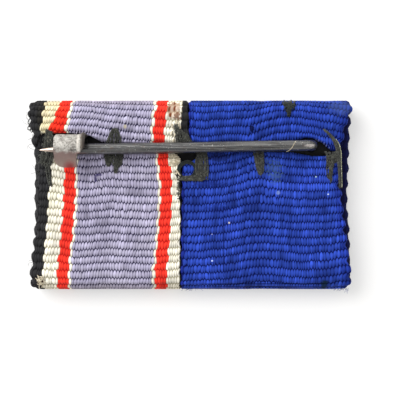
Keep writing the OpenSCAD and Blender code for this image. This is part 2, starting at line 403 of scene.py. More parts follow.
@dataclass(frozen=True)
class BarShape:
    """Outline and section of the bar."""

    half_length: float = 15.5
    half_width: float = 9.1
    fold_y: float = 7.6
    fold_mid: float = 1.0
    middle_z: float = 1.5
    cloth: float = 1.0
    gap: float = 0.05
    hem_radius: float = 0.4
    edge_share: float = 0.35
    # Middle of the seam across the bar, and the mean Y of its two hems
    seam_y: float = 4.69
    lower_hem: float = 3.9
    upper_hem: float = 5.1
    # Share of the half width, then how far the edge lies in: left on the back, left in
    # front, right on the back, right in front
    edge_rows: tuple = (
        (-1.00, 1.05, 1.05, 1.20, 1.20),
        (-0.96, 0.52, 0.52, 0.52, 0.52),
        (-0.91, 0.20, 0.20, 0.18, 0.12),
        (-0.80, 0.28, 0.22, 0.25, 0.00),
        (-0.60, 0.42, 0.28, 0.48, 0.05),
        (-0.37, 0.78, 0.35, 0.76, 0.10),
        (-0.05, 0.90, 0.35, 1.05, 0.35),
        (0.10, 0.95, 0.35, 1.34, 0.25),
        (0.30, 1.00, 0.35, 1.34, 0.20),
        (0.44, 1.02, 0.32, 1.30, 0.18),
        (0.52, 0.50, 0.28, 1.10, 0.12),
        (0.70, 0.28, 0.22, 0.80, 0.05),
        (0.83, 0.00, 0.10, 0.36, 0.00),
        (0.92, 0.08, 0.12, 0.05, 0.00),
        (0.96, 0.42, 0.42, 0.42, 0.42),
        (1.00, 0.95, 0.95, 1.20, 1.20),
    )
    # Share of the half width, and X of the joint of the ribbons on the back
    boundary_rows: tuple = (
        (-1.00, -0.95), (0.00, -0.86), (0.30, -0.86), (0.44, -0.60),
        (0.52, 0.05), (0.62, -0.15), (1.00, -0.20),
    )
    # X, then Y of the lower and the upper hem
    seam_rows: tuple = (
        (-15.0, 3.90, 4.45), (-14.0, 3.85, 4.75), (-13.2, 3.90, 5.90), (-9.8, 3.90, 5.90), (-8.7, 3.90, 5.60),
        (-7.7, 3.85, 5.02), (-1.5, 3.95, 4.93), (-0.6, 3.10, 4.93), (0.5, 3.10, 4.93), (1.4, 4.08, 4.93),
        (9.8, 4.06, 4.98), (10.8, 3.86, 5.45), (11.6, 3.70, 5.45), (12.6, 3.70, 5.00), (13.5, 3.75, 4.20),
        (15.0, 3.70, 4.05),
    )
    # X and Y of each bulge of the cloth, its reach along both, and its height
    pucker_rows: tuple = (
        (-7.3, 0.8, 2.4, 1.3, 0.14), (-7.4, 7.0, 1.8, 0.8, 0.16), (-3.2, 1.0, 1.4, 1.8, 0.08),
        (3.8, 1.6, 1.9, 1.2, 0.14), (7.6, 7.1, 1.9, 0.8, 0.18), (9.4, -1.5, 2.6, 2.0, 0.10),
        (13.6, -5.0, 0.9, 3.0, 0.12), (-13.4, -5.5, 0.9, 2.6, 0.10),
    )

    @property
    def outer_radius(self) -> float:
        """Radius of the outside of the two folds."""
        return self.fold_mid + self.cloth / 2

    @property
    def fold_length(self) -> float:
        """Length of the outside of one fold."""
        return math.pi * self.outer_radius

    @property
    def front_start(self) -> float:
        """Length along the cloth where the flat front starts."""
        return self.fold_y + self.fold_length

    @property
    def top_start(self) -> float:
        """Length along the cloth where the top fold starts."""
        return self.front_start + 2 * self.fold_y

    @property
    def upper_start(self) -> float:
        """Length along the cloth where the upper flap starts."""
        return self.top_start + self.fold_length

    def edge(self, y: np.ndarray, back: np.ndarray, left: bool) -> np.ndarray:
        """X of the bar's left or right edge.

        Args:
            y: Height across the bar.
            back: 1 on the back and 0 in front.
            left: Whether the left edge is wanted.

        Returns:
            The edge's place at each height.
        """
        rows = np.array(self.edge_rows)
        share = np.asarray(y) / self.half_width
        column = 1 if left else 3
        behind = np.interp(share, rows[:, 0], rows[:, column])
        front = np.interp(share, rows[:, 0], rows[:, column + 1])
        inset = front + (behind - front) * back
        return inset - self.half_length if left else self.half_length - inset

    def boundary(self, y: np.ndarray) -> np.ndarray:
        """X of the line where the two ribbons meet on the back."""
        rows = np.array(self.boundary_rows)
        return np.interp(np.asarray(y) / self.half_width, rows[:, 0], rows[:, 1])

    def seam(self, x: np.ndarray, upper: bool) -> np.ndarray:
        """Y of the lower or upper hem at a place along the bar."""
        rows = np.array(self.seam_rows)
        return np.interp(x, rows[:, 0], rows[:, 2 if upper else 1])

    def pucker(self, x: np.ndarray, y: np.ndarray) -> np.ndarray:
        """How far the cloth on the back stands off the plate.

        Args:
            x: Place along the bar.
            y: Place across it.

        Returns:
            The height at each place.
        """
        total = np.zeros(np.broadcast(x, y).shape)
        for at_x, at_y, reach_x, reach_y, height in self.pucker_rows:
            total = total + height * np.exp(-((x - at_x) / reach_x) ** 2 - ((y - at_y) / reach_y) ** 2)
        return total

    def top(self, x: float, y: float) -> float:
        """Z of the cloth's outside on the back, at one place.

        Args:
            x: Place along the bar.
            y: Place across it.

        Returns:
            The height above the surface that the bar lies on.
        """
        beyond = min(abs(y) - self.fold_y, self.outer_radius)
        if beyond <= 0:
            return 2 * self.middle_z + float(self.pucker(np.array(x), np.array(y)))
        return self.middle_z + math.sqrt(max(0.0, self.outer_radius ** 2 - beyond ** 2))

    def hem(self, distance: np.ndarray) -> np.ndarray:
        """Share of the cloth's thickness that is left near an edge."""
        share = np.clip(distance / self.hem_radius, 0, 1)
        return self.edge_share + (1 - self.edge_share) * np.sqrt(1 - (1 - share) ** 2)

    def section(self, t: np.ndarray) -> tuple[np.ndarray, np.ndarray, np.ndarray]:
        """Middle of the cloth at a length along its outside, from Y = 0 on the back.

        Args:
            t: Length along the cloth, rising down the back, round the bottom fold and up the front.

        Returns:
            Y, Z and the angle of the outward normal, in radians.
        """
        parts = [t < self.fold_y, t < self.front_start, t < self.top_start, t < self.upper_start]
        angle = np.select(parts, [
            np.full_like(t, math.pi / 2),
            math.pi / 2 + (t - self.fold_y) / self.outer_radius,
            np.full_like(t, 1.5 * math.pi),
            1.5 * math.pi + (t - self.top_start) / self.outer_radius,
        ], math.pi / 2)
        y = np.select(parts, [
            -t,
            -self.fold_y + self.fold_mid * np.cos(angle),
            t - self.front_start - self.fold_y,
            self.fold_y + self.fold_mid * np.cos(angle),
        ], self.upper_start + self.fold_y - t)
        return y, self.middle_z + self.fold_mid * np.sin(angle), angle


def new_object(name: str, mesh: bpy.types.Mesh) -> bpy.types.Object:
    """Puts a mesh in the scene as an object at the origin.

    Args:
        name: Name of the object.
        mesh: Its mesh.

    Returns:
        The object.
    """
    made = bpy.data.objects.new(name, mesh)
    bpy.context.scene.collection.objects.link(made)
    return made


def settled(source: bpy.types.Object) -> bpy.types.Object:
    """Turns an object and its modifiers into a plain mesh object of the same name.

    Args:
        source: Object with live modifiers, which is removed.

    Returns:
        The new object.
    """
    graph = bpy.context.evaluated_depsgraph_get()
    final = source.evaluated_get(graph)
    mesh = bpy.data.meshes.new_from_object(final, preserve_all_data_layers=True, depsgraph=graph)
    name = source.name
    bpy.data.objects.remove(source)
    mesh.name = name
    return new_object(name, mesh)


def bevelled(piece: bpy.types.Object, width: float, segments: int, degrees: float) -> None:
    """Rounds the edges of an object with a live modifier.

    Args:
        piece: The object.
        width: Width of the rounding, in millimetres.
        segments: Steps of the rounding.
        degrees: Least angle of an edge that gets rounded.
    """
    rounded = piece.modifiers.new("rounded", "BEVEL")
    rounded.width = width * MM
    rounded.segments = segments
    rounded.limit_method = "ANGLE"
    rounded.angle_limit = math.radians(degrees)


def quads(index: np.ndarray, flip: bool = False) -> list[list[int]]:
    """Faces with four corners over a grid of vertices.

    Args:
        index: Vertex number at each row and column.
        flip: Whether the faces turn the other way.

    Returns:
        The four vertex numbers of each face.
    """
    corners = [index[:-1, :-1], index[1:, :-1], index[1:, 1:], index[:-1, 1:]]
    if flip:
        corners = [corners[k] for k in (0, 3, 2, 1)]
    return np.stack(corners, -1).reshape(-1, 4).tolist()


# Ribbons


@dataclass(frozen=True)
class Stripe:
    """One colour of the warp, with the darker colour between its floats, which is the binder darkened as
    painted shade.
    """

    start: int
    colour: Colour
    gap: Colour


@dataclass(frozen=True)
class Stain:
    """A mark on the cloth, in millimetres: a stain, hole or speck, or a patch of painted shade."""

    centre: Point
    reach: Point
    colour: Colour
    strength: float
    ragged: float = 0.3
    by_float: bool = False
    blend: Blend = Blend.MIX


@dataclass(frozen=True)
class WeaveFinish:
    """Looks of one ribbon's cloth, with painted shade in the low parts of its weave and on its folds, and
    painted glints.
    """

    name: str
    ends: int
    stripes: tuple[Stripe, ...]
    # Painted shade that multiplies the colour on the folds at the top and bottom edges
    fold_shade: Colour
    drift: Colour
    sheen_tint: Colour
    stains: tuple = ()
    roughness: float = 0.75
    # Share of the colour left on the lowest parts of floats and ribs: painted shade
    hollow_shade: float = 0.72
    grain: float = 0.2
    uneven: float = 1.0
    sheen: float = 0.04
    gloss: float = 0.10
    # Distance from the middle of the bar, in millimetres, from where painted shade on the folds at the top and
    # bottom takes over
    fold_shade_from: float = 8.25
    fold_shade_to: float = 8.9

    def material(self, effects: Effects) -> bpy.types.Material:
        """Builds the material.

        Args:
            effects: The shared shader groups.

        Returns:
            The finished material.
        """
        made, board, shader = new_material(self.name)
        ends, ribs, _ = board.split(board.wire("ShaderNodeUVMap", uv_map=Ribbon.UV))
        lean = board.noise(board.join(ends * 0.05, ribs * 0.09), 1.0, 1.0)
        weave = board.group(effects.weave, {"Ends": ends, "Ribs": ribs, "Slant": (lean - 0.5) * 1.3 + 0.12})
        total = float(self.ends)
        position = (weave["End"] + 0.5) / total
        lit = board.steps(position, [(s.start / total, s.colour) for s in self.stripes])
        # Gap colours: the binder between floats, darkened as painted shade
        dark = board.steps(position, [(s.start / total, s.gap) for s in self.stripes])
        spot = board.join(weave["End"], weave["Rib"])
        grain = board.wire("ShaderNodeTexWhiteNoise", {"Vector": spot}, noise_dimensions="2D")
        fibre = board.noise(board.join(ends * 2.2, ribs * 1.3), 1.0, 2.0, 0.6)
        strand = board.noise(board.join(ends * 6.5, ribs * 0.9), 1.0, 2.0, 0.6)
        streak = board.noise(board.join(ends * 0.30, ribs * 0.03), 1.0, 3.0)
        band = board.noise(board.join(ends * 0.035, weave["Rib"] * 0.9), 1.0, 2.0)
        cloud = board.noise(board.place(), 420.0, 2.0)
        uneven = (streak - 0.5) * 0.8 + (band - 0.5) * 0.8 + (cloud - 0.5) * 0.7
        factor = ((grain - 0.5) * self.grain + 1.0) * (fibre * 0.7 + 0.65) * (uneven * self.uneven + 1.0)
        # Low parts of the floats and the valleys between ribs are darkened as painted shade
        factor = factor * (strand * 0.7 + 0.65) * weave["Height"].ramp(0.1, 0.9, self.hollow_shade, 1.08)
        lit = board.mix(cloud.ramp(0.45, 0.75) * 0.5, lit, board.mix(1.0, lit, self.drift, Blend.MULTIPLY))
        # Some floats are made a little brighter as painted glints
        lit = board.scaled(lit, (grain - 0.7).ramp(0.0, 0.25) * (self.grain * 0.5) + 0.97)
        # Between the floats the colour turns to the painted-shade gap colour
        colour = board.mix(weave["Gap"] * 0.95, board.scaled(lit, factor), dark)
        # Painted shade on the folds at the top and bottom edges
        _, y, _ = board.split(board.place())
        fold_shade = y.math("ABSOLUTE").ramp(self.fold_shade_from * MM, self.fold_shade_to * MM)
        colour = board.mix(fold_shade, colour, self.fold_shade, Blend.MULTIPLY)
        for stain in self.stains:
            mask = effects.spot(board, stain.centre, stain.reach, stain.ragged) * stain.strength
            if stain.by_float:
                mask = mask * grain.ramp(0.35, 0.75) * weave["Height"].ramp(0.2, 0.9, 0.45, 1.0)
            colour = board.mix(mask, colour, stain.colour, stain.blend)
        board.feed(shader, {
            "Base Color": colour,
            "Roughness": (fibre - 0.5) * 0.2 + self.roughness,
            "Normal": board.bump(weave["Height"] + fibre * 0.3 + strand * 0.25, 0.65, 0.05),
            "Sheen Weight": self.sheen,
            "Sheen Roughness": 0.5,
            "Sheen Tint": self.sheen_tint,
            "Specular IOR Level": self.gloss,
        })
        return made


@dataclass(frozen=True)
class Ribbon:
    """One rep ribbon: a closed wall of cloth with its ribs and floats as relief."""

    UV = "weave"
    # Zones along the cloth: lower flap, bottom fold, front, top fold, upper flap
    ZONES = 5
    # Width of a selvage, in warp ends
    SELVAGE = 9
    # Length along the cloth, on the front, where the upper guides take over from the lower
    TURNOVER = 20.0
    # Length along the cloth where X of each warp end is read to find the hems
    HEM_LENGTH = -4.0
    # Extra steps beside the lower and the upper hem, as shares of their zones
    HEM_SHARES = (0.003, 0.99)
    # Lengths along the cloth where the shift of the ribs is known. It is nothing at the
    # fifth and sixth, which are on the front
    LEVELS = (-2.0, 1.5, 5.3, 8.5, 14.0, 26.0, 31.3, 32.7, 34.4)
    # Places beside a point, along the bar, over which the shift is averaged
    AROUND = (-0.4, -0.2, 0.0, 0.2, 0.4)

    side: Side
    shape: BarShape
    finish: WeaveFinish
    # Warp end of each border between stripes, with both edges
    marks: tuple[int, ...]
    # Length along the cloth, then X of each border, for both flaps. In front only X
    lower_guides: tuple
    upper_guides: tuple
    front_guides: tuple[float, ...]
    # Length along the cloth, and rib number
    rib_rows: tuple
    # X, then the shift of the ribs at the first four and at the last three levels
    lower_shift: tuple
    upper_shift: tuple
    scallop: float = 0.17
    joint_scallop: float = 0.6
    joint_sharpness: float = 2.2
    roundness: float = 1.9
    rib_depth: float = 0.105
    float_depth: float = 0.028
    crest: float = 0.05
    inner_waves: float = 0.04
    end_wander: float = 0.30
    rib_wander: float = 0.055
    least_stripe: float = 0.035
    seed: int = 3
    columns_per_end: int = 2
    rows_per_rib: int = 8
    front_rows_per_rib: int = 6
    rib_pitch: float = 0.735
    inner_step: int = 4

    def ribs(self, x: np.ndarray, t: np.ndarray) -> np.ndarray:
        """Rib coordinate: whole numbers are the valleys between ribs.

        Args:
            x: Place along the bar.
            t: Length along the cloth.

        Returns:
            The number of ribs from the lower hem.
        """
        low = np.array(self.lower_shift)
        high = np.array(self.upper_shift)
        levels = self.LEVELS
        shift = np.zeros_like(t)
        for lean in self.AROUND:
            at = x + lean
            known = [np.interp(at, low[:, 0], low[:, k]) for k in range(1, 5)]
            known += [np.zeros_like(at), np.zeros_like(at)]
            known += [np.interp(at, high[:, 0], high[:, k]) for k in range(1, 4)]
            total = known[0]
            for k in range(len(levels) - 1):
                share = np.clip((t - levels[k]) / (levels[k + 1] - levels[k]), 0, 1)
                total = total + (known[k + 1] - known[k]) * share
            shift = shift + total / len(self.AROUND)
        table = np.array(self.rib_rows)
        return np.interp(t - shift, table[:, 0], table[:, 1])

    def wander(self, ends: np.ndarray, ribs: np.ndarray) -> tuple[np.ndarray, np.ndarray]:
        """Small uneven shifts of the yarns, smooth over a few of them.

        Args:
            ends: Warp end at each point.
            ribs: Rib coordinate at each point.

        Returns:
            The end and rib coordinates with the shifts added.
        """
        random = np.random.default_rng(self.seed)
        moved = []
        # Each shift is read from a table, which starts beyond the first end and rib
        for value, wide, tall, size in ((ends, 2.2, 1.0, self.end_wander), (ribs, 3.0, 1.4, self.rib_wander)):
            table = random.normal(0, size, (90, 90))
            u, v = ends / wide + 4, ribs / tall + 8
            u0, v0 = np.floor(u).astype(int), np.floor(v).astype(int)
            su, sv = u - u0, v - v0
            su, sv = su * su * (3 - 2 * su), sv * sv * (3 - 2 * sv)
            low = table[u0, v0] * (1 - su) + table[u0 + 1, v0] * su
            high = table[u0, v0 + 1] * (1 - su) + table[u0 + 1, v0 + 1] * su
            moved.append(value + low * (1 - sv) + high * sv)
        return moved[0], moved[1]

    def across(self, ends: np.ndarray, t: np.ndarray, y: np.ndarray, back: np.ndarray) -> np.ndarray:
        """X of warp ends at places along the cloth.

        Args:
            ends: Warp end at each column.
            t: Length along the cloth, a row for each step and a column for each end.
            y: Place across the bar.
            back: 1 on the back and 0 in front.

        Returns:
            X at each point.
        """
        shape = self.shape
        late = np.clip(2 * back, 0, 1)
        if self.side is Side.STRIPED:
            first, last = shape.edge(y, back, True), shape.boundary(y) * late - shape.gap / 2
        else:
            first, last = shape.boundary(y) * late + shape.gap / 2, shape.edge(y, back, False)
        lower, upper = np.array(self.lower_guides), np.array(self.upper_guides)
        on_lower = t < self.TURNOVER
        lines = [first]
        for k in range(1, len(self.marks) - 1):
            low = np.interp(t, lower[:, 0], lower[:, k])
            high = np.interp(t, upper[:, 0], upper[:, k])
            behind = np.where(on_lower, low, high)
            line = self.front_guides[k - 1] * (1 - late) + behind * late
            room = self.least_stripe * (len(self.marks) - 1 - k)
            lines.append(np.minimum(np.maximum(line, lines[-1] + self.least_stripe), last - room))
        lines.append(last)
        x = np.zeros_like(t)
        marks = np.array(self.marks, float)
        for j, end in enumerate(ends):
            k = min(int(np.searchsorted(marks, end, side="right")) - 1, len(marks) - 2)
            share = (end - marks[k]) / (marks[k + 1] - marks[k])
            x[:, j] = lines[k][:, j] * (1 - share) + lines[k + 1][:, j] * share
        return x

    def rows(self) -> list[tuple[int, float]]:
        """Steps along the cloth.

        Returns:
            For each step its zone and its share of it.
        """
        shape = self.shape
        fine = self.rib_pitch / self.rows_per_rib
        lengths = (
            shape.fold_y + shape.lower_hem, shape.fold_length, 2 * shape.fold_y, shape.fold_length,
            shape.fold_y - shape.upper_hem,
        )
        sizes = (fine, fine, self.rib_pitch / self.front_rows_per_rib, fine, fine)
        found = [(0, 0.0), (0, self.HEM_SHARES[0])]
        for zone, (length, size) in enumerate(zip(lengths, sizes)):
            count = max(1, round(length / size))
            found += [(zone, step / count) for step in range(1, count + 1)]
        found.insert(-1, (self.ZONES - 1, self.HEM_SHARES[1]))
        return found

    def scalloped(self, x: np.ndarray, ends: np.ndarray, ribs: np.ndarray) -> np.ndarray:
        """Gives both selvages their beads, one for every other rib.

        Args:
            x: Place along the bar of each point.
            ends: Warp end at each column.
            ribs: Rib coordinate of each point.

        Returns:
            X with the beads.
        """
        striped = self.side is Side.STRIPED
        beat = np.cos(math.pi * (ribs - 0.5))
        size = self.scallop * (0.8 + 0.35 * np.sin(2.1 * ribs) * np.sin(0.9 * ribs + 1.0))
        left_bulge = size * (1 - 2 * (0.5 + 0.5 * beat) ** self.roundness)
        right_bulge = size * (1 - 2 * (0.5 - 0.5 * beat) ** self.roundness)
        last = self.marks[-1] - (self.SELVAGE if striped else 0)
        near_left = np.clip(1 - ends / self.SELVAGE, 0, 1)[None, :]
        near_right = np.clip(1 - (last - ends) / self.SELVAGE, 0, 1)[None, :]
        x = x - left_bulge * near_left * (1 if striped else self.joint_scallop)
        return x + right_bulge * near_right * (self.joint_scallop if striped else 1)

    def surface(
        self, ends: np.ndarray, rows: list[tuple[int, float]], face: int,
    ) -> tuple[np.ndarray, np.ndarray]:
        """Points of the outer or inner side.

        Args:
            ends: Warp end at each column.
            rows: Steps along the cloth.
            face: 1 for the outside and -1 for the inside.

        Returns:
            Points in millimetres and their end and rib coordinates.
        """
        shape = self.shape
        zone = np.array([row[0] for row in rows])[:, None]
        share = np.array([row[1] for row in rows])[:, None]
        count = (len(rows), len(ends))
        at_hem = np.full((1, len(ends)), shape.seam_y)
        hem_x = self.across(ends, np.full((1, len(ends)), self.HEM_LENGTH), at_hem, np.ones_like(at_hem))
        low, high = shape.seam(hem_x, False), shape.seam(hem_x, True)
        end_t = shape.upper_start + shape.fold_y - high
        t = np.select([zone == 0, zone == 1, zone == 2, zone == 3], [
            -low + (shape.fold_y + low) * share,
            shape.fold_y + shape.fold_length * share,
            shape.front_start + 2 * shape.fold_y * share,
            shape.top_start + shape.fold_length * share,
        ], shape.upper_start + (end_t - shape.upper_start) * share)
        y, z, angle = shape.section(t)
        back = (1 + np.sin(angle)) / 2
        x = self.across(ends, t, y, back)
        yarns, ribs = self.wander(np.broadcast_to(ends, count), self.ribs(x, t))
        x = self.scalloped(x, ends, ribs)
        outer, inner = x - x[:, :1], x[:, -1:] - x
        if self.side is Side.BLUE:
            outer, inner = inner, outer
        edge = np.minimum(outer, inner * self.joint_sharpness)
        hem = np.where(zone == 0, t + low, np.where(zone == self.ZONES - 1, end_t - t, np.inf))
        out = shape.cloth / 2 * np.minimum(shape.hem(edge), shape.hem(hem)) * face
        if face > 0:
            out = out + self.relief(yarns, ribs)
            out = out - (1 - back) * self.crest
        else:
            out = out + self.inner_waves * np.cos(2 * math.pi * (ribs - 0.5))
        lift = back * shape.pucker(x, y)
        points = np.stack([x, y + out * np.cos(angle), z + out * np.sin(angle) + lift], axis=-1)
        return points, np.stack([yarns, ribs], axis=-1)

    def relief(self, ends: np.ndarray, ribs: np.ndarray) -> np.ndarray:
        """Height of the ribs and floats over the cloth's mean outside.

        Args:
            ends: Warp end of each point.
            ribs: Rib coordinate of each point.

        Returns:
            The height of each point.
        """
        rounded = 0.5 + 0.5 * np.cos(2 * math.pi * (ribs - 0.5))
        best = np.zeros_like(ribs)
        near = np.floor(ribs)
        side = np.sign(ribs - near - 0.5)
        for rib, offset in ((near, ribs - near - 0.5), (near + side, ribs - near - 0.5 - side)):
            at = (ends - np.mod(rib, 2)) / 2
            taper = np.maximum(1 - np.abs(offset / Effects.REACH) ** Effects.BLUNT, Effects.THIN)
            across = np.maximum(1 - ((at - np.floor(at + 0.5)) / (taper / 2)) ** 2, 0)
            best = np.maximum(best, taper * np.sqrt(across))
        return self.crest - self.rib_depth * (1 - rounded ** 0.8) - self.float_depth * (1 - best)

    def mesh(self) -> bpy.types.Mesh:
        """Builds the closed wall: a fine outside, a coarse inside and a rim.

        Returns:
            The mesh, with the end and rib coordinates as its UV map.
        """
        ends = np.arange(self.marks[-1] * self.columns_per_end + 1) / self.columns_per_end
        rows = self.rows()
        outer, outer_uv = self.surface(ends, rows, 1)
        keep_row = sorted({*range(0, len(rows), self.inner_step), len(rows) - 1})
        keep_column = sorted({*range(0, len(ends), self.inner_step), len(ends) - 1})
        kept = np.ix_(keep_row, keep_column)
        inner, inner_uv = (values[kept] for values in self.surface(ends, rows, -1))
        outside = np.arange(outer.shape[0] * outer.shape[1]).reshape(outer.shape[:2])
        inside = np.arange(inner.shape[0] * inner.shape[1]).reshape(inner.shape[:2]) + outside.size
        faces = quads(outside) + quads(inside, flip=True)
        for fine, coarse, shared, forward in (
            (outside[:, 0], inside[:, 0], keep_row, False), (outside[:, -1], inside[:, -1], keep_row, True),
            (outside[0], inside[0], keep_column, True), (outside[-1], inside[-1], keep_column, False),
        ):
            for k in range(len(shared) - 1):
                run = fine[shared[k]:shared[k + 1] + 1].tolist()
                pair = [int(coarse[k]), int(coarse[k + 1])]
                faces.append(run + pair[::-1] if forward else run[::-1] + pair)
        points = np.concatenate([outer.reshape(-1, 3), inner.reshape(-1, 3)]) * MM
        made = bpy.data.meshes.new(self.finish.name)
        made.from_pydata(points.tolist(), [], faces)
        coordinates = np.concatenate([outer_uv.reshape(-1, 2), inner_uv.reshape(-1, 2)])
        corners = np.zeros(len(made.loops), np.int32)
        made.loops.foreach_get("vertex_index", corners)
        layer = made.uv_layers.new(name=self.UV)
        layer.uv.foreach_set("vector", coordinates[corners].astype(np.float32).ravel())
        made.shade_smooth()
        made.validate()
        return made

    def build(self, effects: Effects) -> bpy.types.Object:
        """Args:
            effects: The shared shader groups.

        Returns:
            The ribbon's object.
        """
        node = f"{self.side.value}_ribbon"
        made = new_object(f"{node}_cloth", self.mesh())
        made.data.materials.append(self.finish.material(effects))
        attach(made, "bar")
        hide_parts(node)
        return made


BLACK, WHITE, RED = dyed(40, 40, 42), dyed(232, 227, 212), dyed(236, 54, 40)
LAVENDER, BLUE = dyed(164, 159, 184), dyed(40, 65, 160)
# Colours between the floats: the binder, darkened as painted shade
BLACK_GAP_SHADE, WHITE_GAP_SHADE, RED_GAP_SHADE = dyed(10, 10, 12), dyed(150, 144, 118), dyed(176, 12, 8)
LAVENDER_GAP_SHADE, BLUE_GAP_SHADE = dyed(26, 20, 54), dyed(5, 12, 70)

STRIPED_MARKS = (0, 9, 19, 27, 29, 86, 88, 96, 106, 115)
# Colours of the stripes from the left edge to the middle one
STRIPED_HALF = (
    (BLACK, BLACK_GAP_SHADE), (WHITE, WHITE_GAP_SHADE), (RED, RED_GAP_SHADE), (WHITE, WHITE_GAP_SHADE), (LAVENDER, LAVENDER_GAP_SHADE))


def striped_ribbon(shape: BarShape) -> Ribbon:
    """The left ribbon, with its stripes' borders and rib lines.

    Args:
        shape: The bar's shape.

    Returns:
        The ribbon's description.
    """
    finish = WeaveFinish(
        name="striped_rep",
        ends=STRIPED_MARKS[-1],
        stripes=tuple(
            Stripe(start, *pair) for start, pair in zip(STRIPED_MARKS, STRIPED_HALF + STRIPED_HALF[-2::-1])),
        fold_shade=(0.86, 0.83, 0.78),
        drift=linear(236, 238, 224),
        sheen_tint=linear(200, 196, 206),
        stains=(
            Stain((-1.65, 8.1, 2.6), (0.7, 1.0, 1.0), dyed(206, 172, 146), 0.5, 0.8),
            Stain((-1.65, 8.0, 2.6), (0.75, 1.0, 1.0), dyed(112, 58, 30), 1.0, 0.5, True),
            Stain((-1.3, 7.5, 3.0), (0.35, 0.45, 0.6), dyed(104, 56, 26), 0.8, 1.0),
            Stain((-13.3, 7.5, 2.8), (1.6, 2.2, 1.4), linear(248, 240, 214), 1.0, 0.3, blend=Blend.MULTIPLY),
            Stain((-6.25, 6.5, 3.0), (0.16, 0.22, 0.6), dyed(176, 166, 140), 0.8, 0.6),
            Stain((-14.3, -8.15, 2.5), (0.45, 0.42, 1.0), dyed(60, 40, 26), 0.9, 0.7),
            Stain((-1.25, 2.1, 3.0), (0.25, 0.5, 0.6), dyed(10, 10, 12), 0.97, 0.7),
            Stain((-1.15, 0.7, 3.0), (0.14, 1.2, 0.6), dyed(16, 15, 15), 0.85, 1.6),
            Stain((-1.5, 5.9, 3.0), (0.5, 0.6, 0.6), dyed(70, 62, 58), 0.5, 2.4),
            Stain((-8.78, 1.9, 3.0), (0.36, 0.13, 0.6), dyed(62, 54, 100), 0.8, 0.5),
            Stain((-9.05, 1.6, 3.0), (0.14, 0.42, 0.6), dyed(58, 50, 96), 0.8, 0.5),
        ),
    )
    return Ribbon(
        side=Side.STRIPED,
        shape=shape,
        finish=finish,
        marks=STRIPED_MARKS,
        lower_guides=(
            (-3.53, -13.26, -11.88, -10.97, -10.73, -3.29, -3.05, -2.10, -1.03),
            (-2.00, -13.26, -11.93, -10.92, -10.73, -3.10, -2.86, -1.76, -1.03),
            (-0.48, -13.45, -12.02, -10.92, -10.68, -2.96, -2.74, -1.72, -1.03),
            (1.05, -13.55, -12.07, -11.02, -10.78, -3.05, -2.81, -1.76, -1.05),
            (2.58, -13.64, -12.18, -11.13, -10.83, -3.17, -2.93, -1.86, -0.83),
            (4.10, -13.74, -12.31, -11.26, -11.02, -3.26, -3.01, -1.96, -0.83),
            (5.63, -13.93, -12.49, -11.44, -11.21, -3.43, -3.20, -2.10, -0.83),
            (7.16, -14.02, -12.66, -11.59, -11.30, -3.58, -3.29, -2.19, -0.83),
            (8.68, -14.07, -12.74, -11.69, -11.45, -3.63, -3.34, -2.19, -0.83),
        ),
        upper_guides=(
            (30.95, -13.88, -12.40, -11.40, -11.11, -3.48, -3.20, -2.10, -0.72),
            (31.33, -13.93, -12.56, -11.50, -11.26, -3.48, -3.21, -2.15, -0.72),
            (32.10, -14.09, -12.78, -11.59, -11.30, -3.58, -3.34, -2.26, -0.81),
            (32.86, -14.07, -13.12, -11.80, -11.54, -3.67, -3.41, -2.34, -0.86),
            (33.62, -14.31, -13.55, -11.88, -11.64, -3.77, -3.53, -2.43, -0.91),
            (34.39, -14.31, -13.40, -11.88, -11.69, -3.77, -3.50, -2.43, -1.29),
        ),
        front_guides=(-14.0, -12.6, -11.55, -11.3, -3.9, -3.65, -2.6, -1.2),
        rib_rows=(
            (-4.91, -2), (-3.43, 0), (-1.34, 3), (5.27, 12), (7.24, 15), (8.70, 17), (31.02, 47), (32.48, 49),
            (34.65, 52), (36.1, 54),
        ),
        lower_shift=(
            (-14.74, -0.46, -0.46, -0.33, 0.00), (-13.21, -0.43, -0.38, -0.28, 0.04),
            (-12.45, -0.24, -0.29, -0.19, -0.04), (-11.69, -0.04, -0.11, -0.11, 0.08),
            (-10.92, 0.04, 0.00, 0.05, 0.10), (-10.16, 0.09, 0.07, 0.02, 0.10),
            (-9.40, 0.09, -0.01, -0.08, 0.03), (-8.63, 0.02, -0.09, -0.14, -0.02),
            (-7.87, -0.17, -0.20, -0.20, -0.03), (-7.11, -0.18, -0.19, -0.14, 0.02),
            (-6.34, -0.06, -0.11, -0.07, 0.04), (-5.58, -0.01, -0.07, -0.02, 0.02),
            (-4.05, 0.00, 0.00, 0.00, 0.00), (-2.53, -0.03, -0.03, -0.08, 0.03),
            (-1.76, -0.07, -0.11, -0.19, -0.06), (-0.91, -0.14, -0.19, -0.24, -0.10),
        ),
        upper_shift=(
            (-15.50, -0.67, -0.91, -1.00), (-13.21, -0.67, -0.95, -1.05), (-12.26, -0.59, -0.74, -0.90),
            (-11.40, -0.65, -0.80, -1.00), (-10.54, -0.62, -0.76, -0.89), (-9.68, -0.48, -0.68, -0.80),
            (-8.82, -0.41, -0.52, -0.64), (-7.97, -0.29, -0.39, -0.44), (-7.11, -0.15, -0.27, -0.30),
            (-6.25, -0.10, -0.18, -0.19), (-5.39, -0.07, -0.08, -0.10), (-4.53, 0.00, 0.00, 0.00),
            (-3.67, -0.03, 0.02, 0.06), (-2.81, 0.12, 0.13, 0.16), (-1.96, 0.15, 0.19, 0.24),
            (-0.91, 0.10, 0.24, 0.38),
        ),
    )


